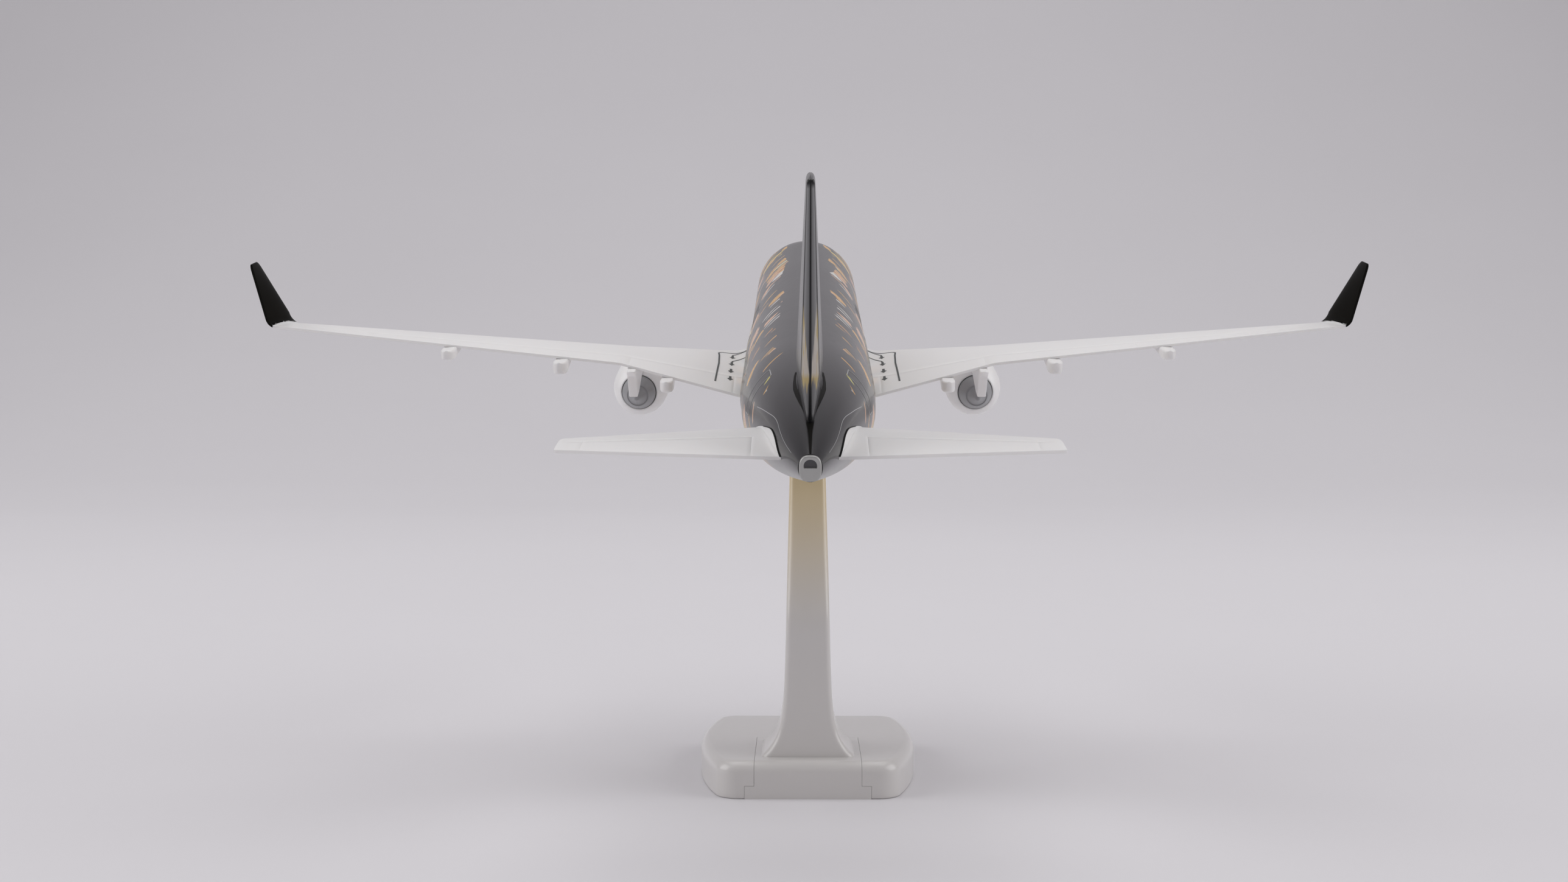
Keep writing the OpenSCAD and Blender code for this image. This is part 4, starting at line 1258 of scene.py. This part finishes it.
base = {
    "long": 43.5, "wide": 35.5, "high": 5.8, "widest": 3.2, "narrowing": 0.0066, "corner": 4, "round": 1.8,
    "under": 0.3,
}
foot = {"long": 21, "wide": 19.7, "high": 2, "neck": 16.7, "fit": 0.04}
arm = {
    "in": 3.85, "long": 9.6, "low": 7.8, "top": 5.6, "flareWide": 7.1, "flareLong": 6, "flareUp": 2.9,
    "leanFrom": 27, "leanPower": 1.35, "end": 4, "chamfer": 0.95, "flareChamfer": 0.6,
}


def baseOutline(inset):
    # the plan of the base, with its corners rounded by arcs
    def sideAt(y):
        return base["wide"] / 2 - base["narrowing"] * (y - base["widest"]) ** 2

    half, r = base["long"] / 2, base["corner"]
    right = []
    for end in (-1, 1):
        lean = atan(-2 * base["narrowing"] * (end * half - base["widest"]))
        middle = sideAt(end * (half - r)) - r / cos(lean) + 0.02
        for a in spread(-pi / 2, -lean, 12) if end < 0 else spread(-lean, pi / 2, 12):
            right.append((middle + (r - inset) * cos(a), end * (half - r) + (r - inset) * sin(a)))
        if end < 0:
            right += [(sideAt(y) - inset, y) for y in spread(-half + r + 1.5, half - r - 1.5, 20)]
    return right + [(-x, y) for x, y in right[::-1]]


def footBoxes(fit=0.0, past=0.0):
    # the foot's plate and its neck, or with some room round them the slot that they slide in
    back, boxes = -base["long"] / 2, []
    for wide, high in ((foot["wide"], foot["high"]), (foot["neck"], base["high"])):
        low = (-wide / 2 - fit, back - 2 * past, -past)
        boxes.append(boxAt(low, (wide / 2 + fit, back + foot["long"] + fit, high + fit)))
    return boxes


def buildBase():
    r, high, under, quarter = base["round"], base["high"], base["under"], pi / 2
    rows = [(under * (1 - sin(a)), under * (1 - cos(a))) for a in spread(0, quarter, 3)]
    rows += [(0, z) for z in spread(0.8, high - r - 0.3, 3)]
    rows += [(r * (1 - cos(a)), high - r * (1 - sin(a))) for a in spread(0, quarter, 9)]
    rings = [[Vector((x, y, z)) * milli for x, y in baseOutline(inset)] for inset, z in rows]
    solid = wrapRings("standBase", rings, 40)
    for slot in footBoxes(foot["fit"], 1):
        cutWith(solid, slot)
    pick(solid)
    smoothAll(40)
    finished(solid, "white_plastic", shadedStandPlastic, "stand_base", body="base")


def flare(z):
    return exp(-max(z - base["high"], 0) / arm["flareUp"])


def armRing(z, place=None):
    # a flat-faced section with softly rounded corners, on the arm's own curve or where it is put
    wide = mix(arm["low"], arm["top"], share(z, base["high"], stance["seatZ"])) + arm["flareWide"] * flare(z)
    long, r = arm["long"] + arm["flareLong"] * flare(z), arm["chamfer"] * (1 + arm["flareChamfer"] * flare(z))
    lean = max(share(z, arm["leanFrom"], stance["seatZ"]), 0) ** arm["leanPower"]
    foremost = arm["in"] - base["long"] / 2 + arm["long"] / 2
    middle = mix(foremost, stance["seatY"], lean) + (long - arm["long"]) / 2
    outline = roundedBox(wide, -long / 2, long / 2, r, 6)
    return [place(x, y) if place else Vector((x, middle + y, z)) * milli for x, y in outline]


def buildArm():
    plate, solid = footBoxes()
    cutWith(solid, plate, "UNION")
    # the top edge behind is rounded like the base's own
    back, tall, r, out = -base["long"] / 2, base["high"], base["round"], foot["neck"]
    corner = boxAt((-out, back - 1, tall - r), (out, back + r, tall + 1))
    arc = [(back + r - r * sin(a), tall - r + r * cos(a)) for a in spread(0, pi / 2, 10)]
    arc += [(back + r + 1, tall - r), (back + r + 1, tall)]
    rings = [[Vector((x, y, z)) * milli for y, z in arc] for x in (-out - 1, out + 1)]
    cutWith(corner, wrapRings("arc", rings, 20))
    cutWith(solid, corner)
    end, seat, low = stance["seatZ"] - arm["end"], stance["seatAft"], stance["bellyLow"] - 0.02
    rings = [armRing(z) for z in spread(tall - 1, tall + 14, 22, 1.5) + spread(22, end, 16)]
    rings.append(armRing(end, lambda x, y: flown(x, seat - y, low)))
    cutWith(solid, wrapRings("column", rings, 30), "UNION")
    edge = {"width": peg["edge"] * milli, "segments": 2, "limit_method": "ANGLE", "angle_limit": radians(30)}
    cutWith(solid, shaped(pegBox("post", 0, 1, 0), "BEVEL", **edge), "UNION")
    openAll(named("standArm", solid))
    bpy.ops.mesh.remove_doubles(threshold=1e-6)
    turnOut(solid, 30)
    finished(solid, "white_plastic", armPlastic, "stand_arm", body="arm")


buildBase()
buildArm()
print("stand made")


# Backdrop, light and camera, in metres

studio = {
    "halfWide": 4.0, "front": -2.6, "bend": 0.75, "radius": 1.5, "top": 3.2,
    "paper": ((0.7, 0.685, 0.71, 1), (0.74, 0.725, 0.75, 1)), "paperRough": 0.6, "mottle": 3,
    "world": (0.74, 0.715, 0.735, 1), "worldStrength": 0.44,
    "lamps": (
        {"place": (0, 0.15, 1.5), "aim": (0, 0, 0), "size": 1.6, "power": 8.6},
        {"place": (0, 0.9, 2.2), "aim": (0, 2.2, 0.5), "size": 1.6, "power": 6},
        {"place": (-1.3, -0.2, 0.7), "aim": (0, 0, 0.05), "size": 1.1, "power": 7},
        {"place": (1.3, -0.2, 0.7), "aim": (0, 0, 0.05), "size": 1.1, "power": 7},
    ),
    "camera": (-0.0012, -0.3067, 0.0621), "pitch": -1.303, "yaw": 0.507, "lens": 42.35,
}


def buildStudio():
    bend, r = studio["bend"], studio["radius"]
    line = [(y, 0) for y in spread(studio["front"], bend, 8)]
    line += [(bend + r * sin(a), r - r * cos(a)) for a in spread(0.1, pi / 2, 16)]
    line += [(bend + r, z) for z in spread(r + 0.3, studio["top"], 4)]
    across = spread(-studio["halfWide"], studio["halfWide"], 4)
    sweep = gridOf("sweep", [[(x, y, z) for x in across] for y, z in line])
    bpy.ops.object.shade_smooth()
    paper, g, shader = bareMaterial("pale paper")
    g.feed(shader["Base Color"], g.blend(g.noise(g.place(), studio["mottle"], 3), *studio["paper"]))
    g.feed(shader["Roughness"], studio["paperRough"])
    sweep.data.materials.append(paper)

    world = bpy.data.worlds.new("studio")
    world.use_nodes = True
    world.node_tree.nodes["Background"].inputs[0].default_value = studio["world"]
    world.node_tree.nodes["Background"].inputs[1].default_value = studio["worldStrength"]
    bpy.context.scene.world = world
    for lamp in studio["lamps"]:
        way = (Vector(lamp["aim"]) - Vector(lamp["place"])).to_track_quat("-Z", "Y")
        bpy.ops.object.light_add(type="AREA", location=lamp["place"], rotation=way.to_euler())
        bpy.context.object.data.size = lamp["size"]
        bpy.context.object.data.energy = lamp["power"]

    turn = (radians(90 + studio["pitch"]), 0, radians(studio["yaw"]))
    bpy.ops.object.camera_add(location=studio["camera"], rotation=turn)
    camera = bpy.context.object
    camera.data.lens = studio["lens"]
    camera.data.sensor_width = 36
    camera.data.clip_start = 0.01
    bpy.context.scene.camera = camera
    bpy.context.scene.view_settings.view_transform = "Standard"


buildStudio()
bpy.context.view_layer.update()
print("pieces:", len(pieces))
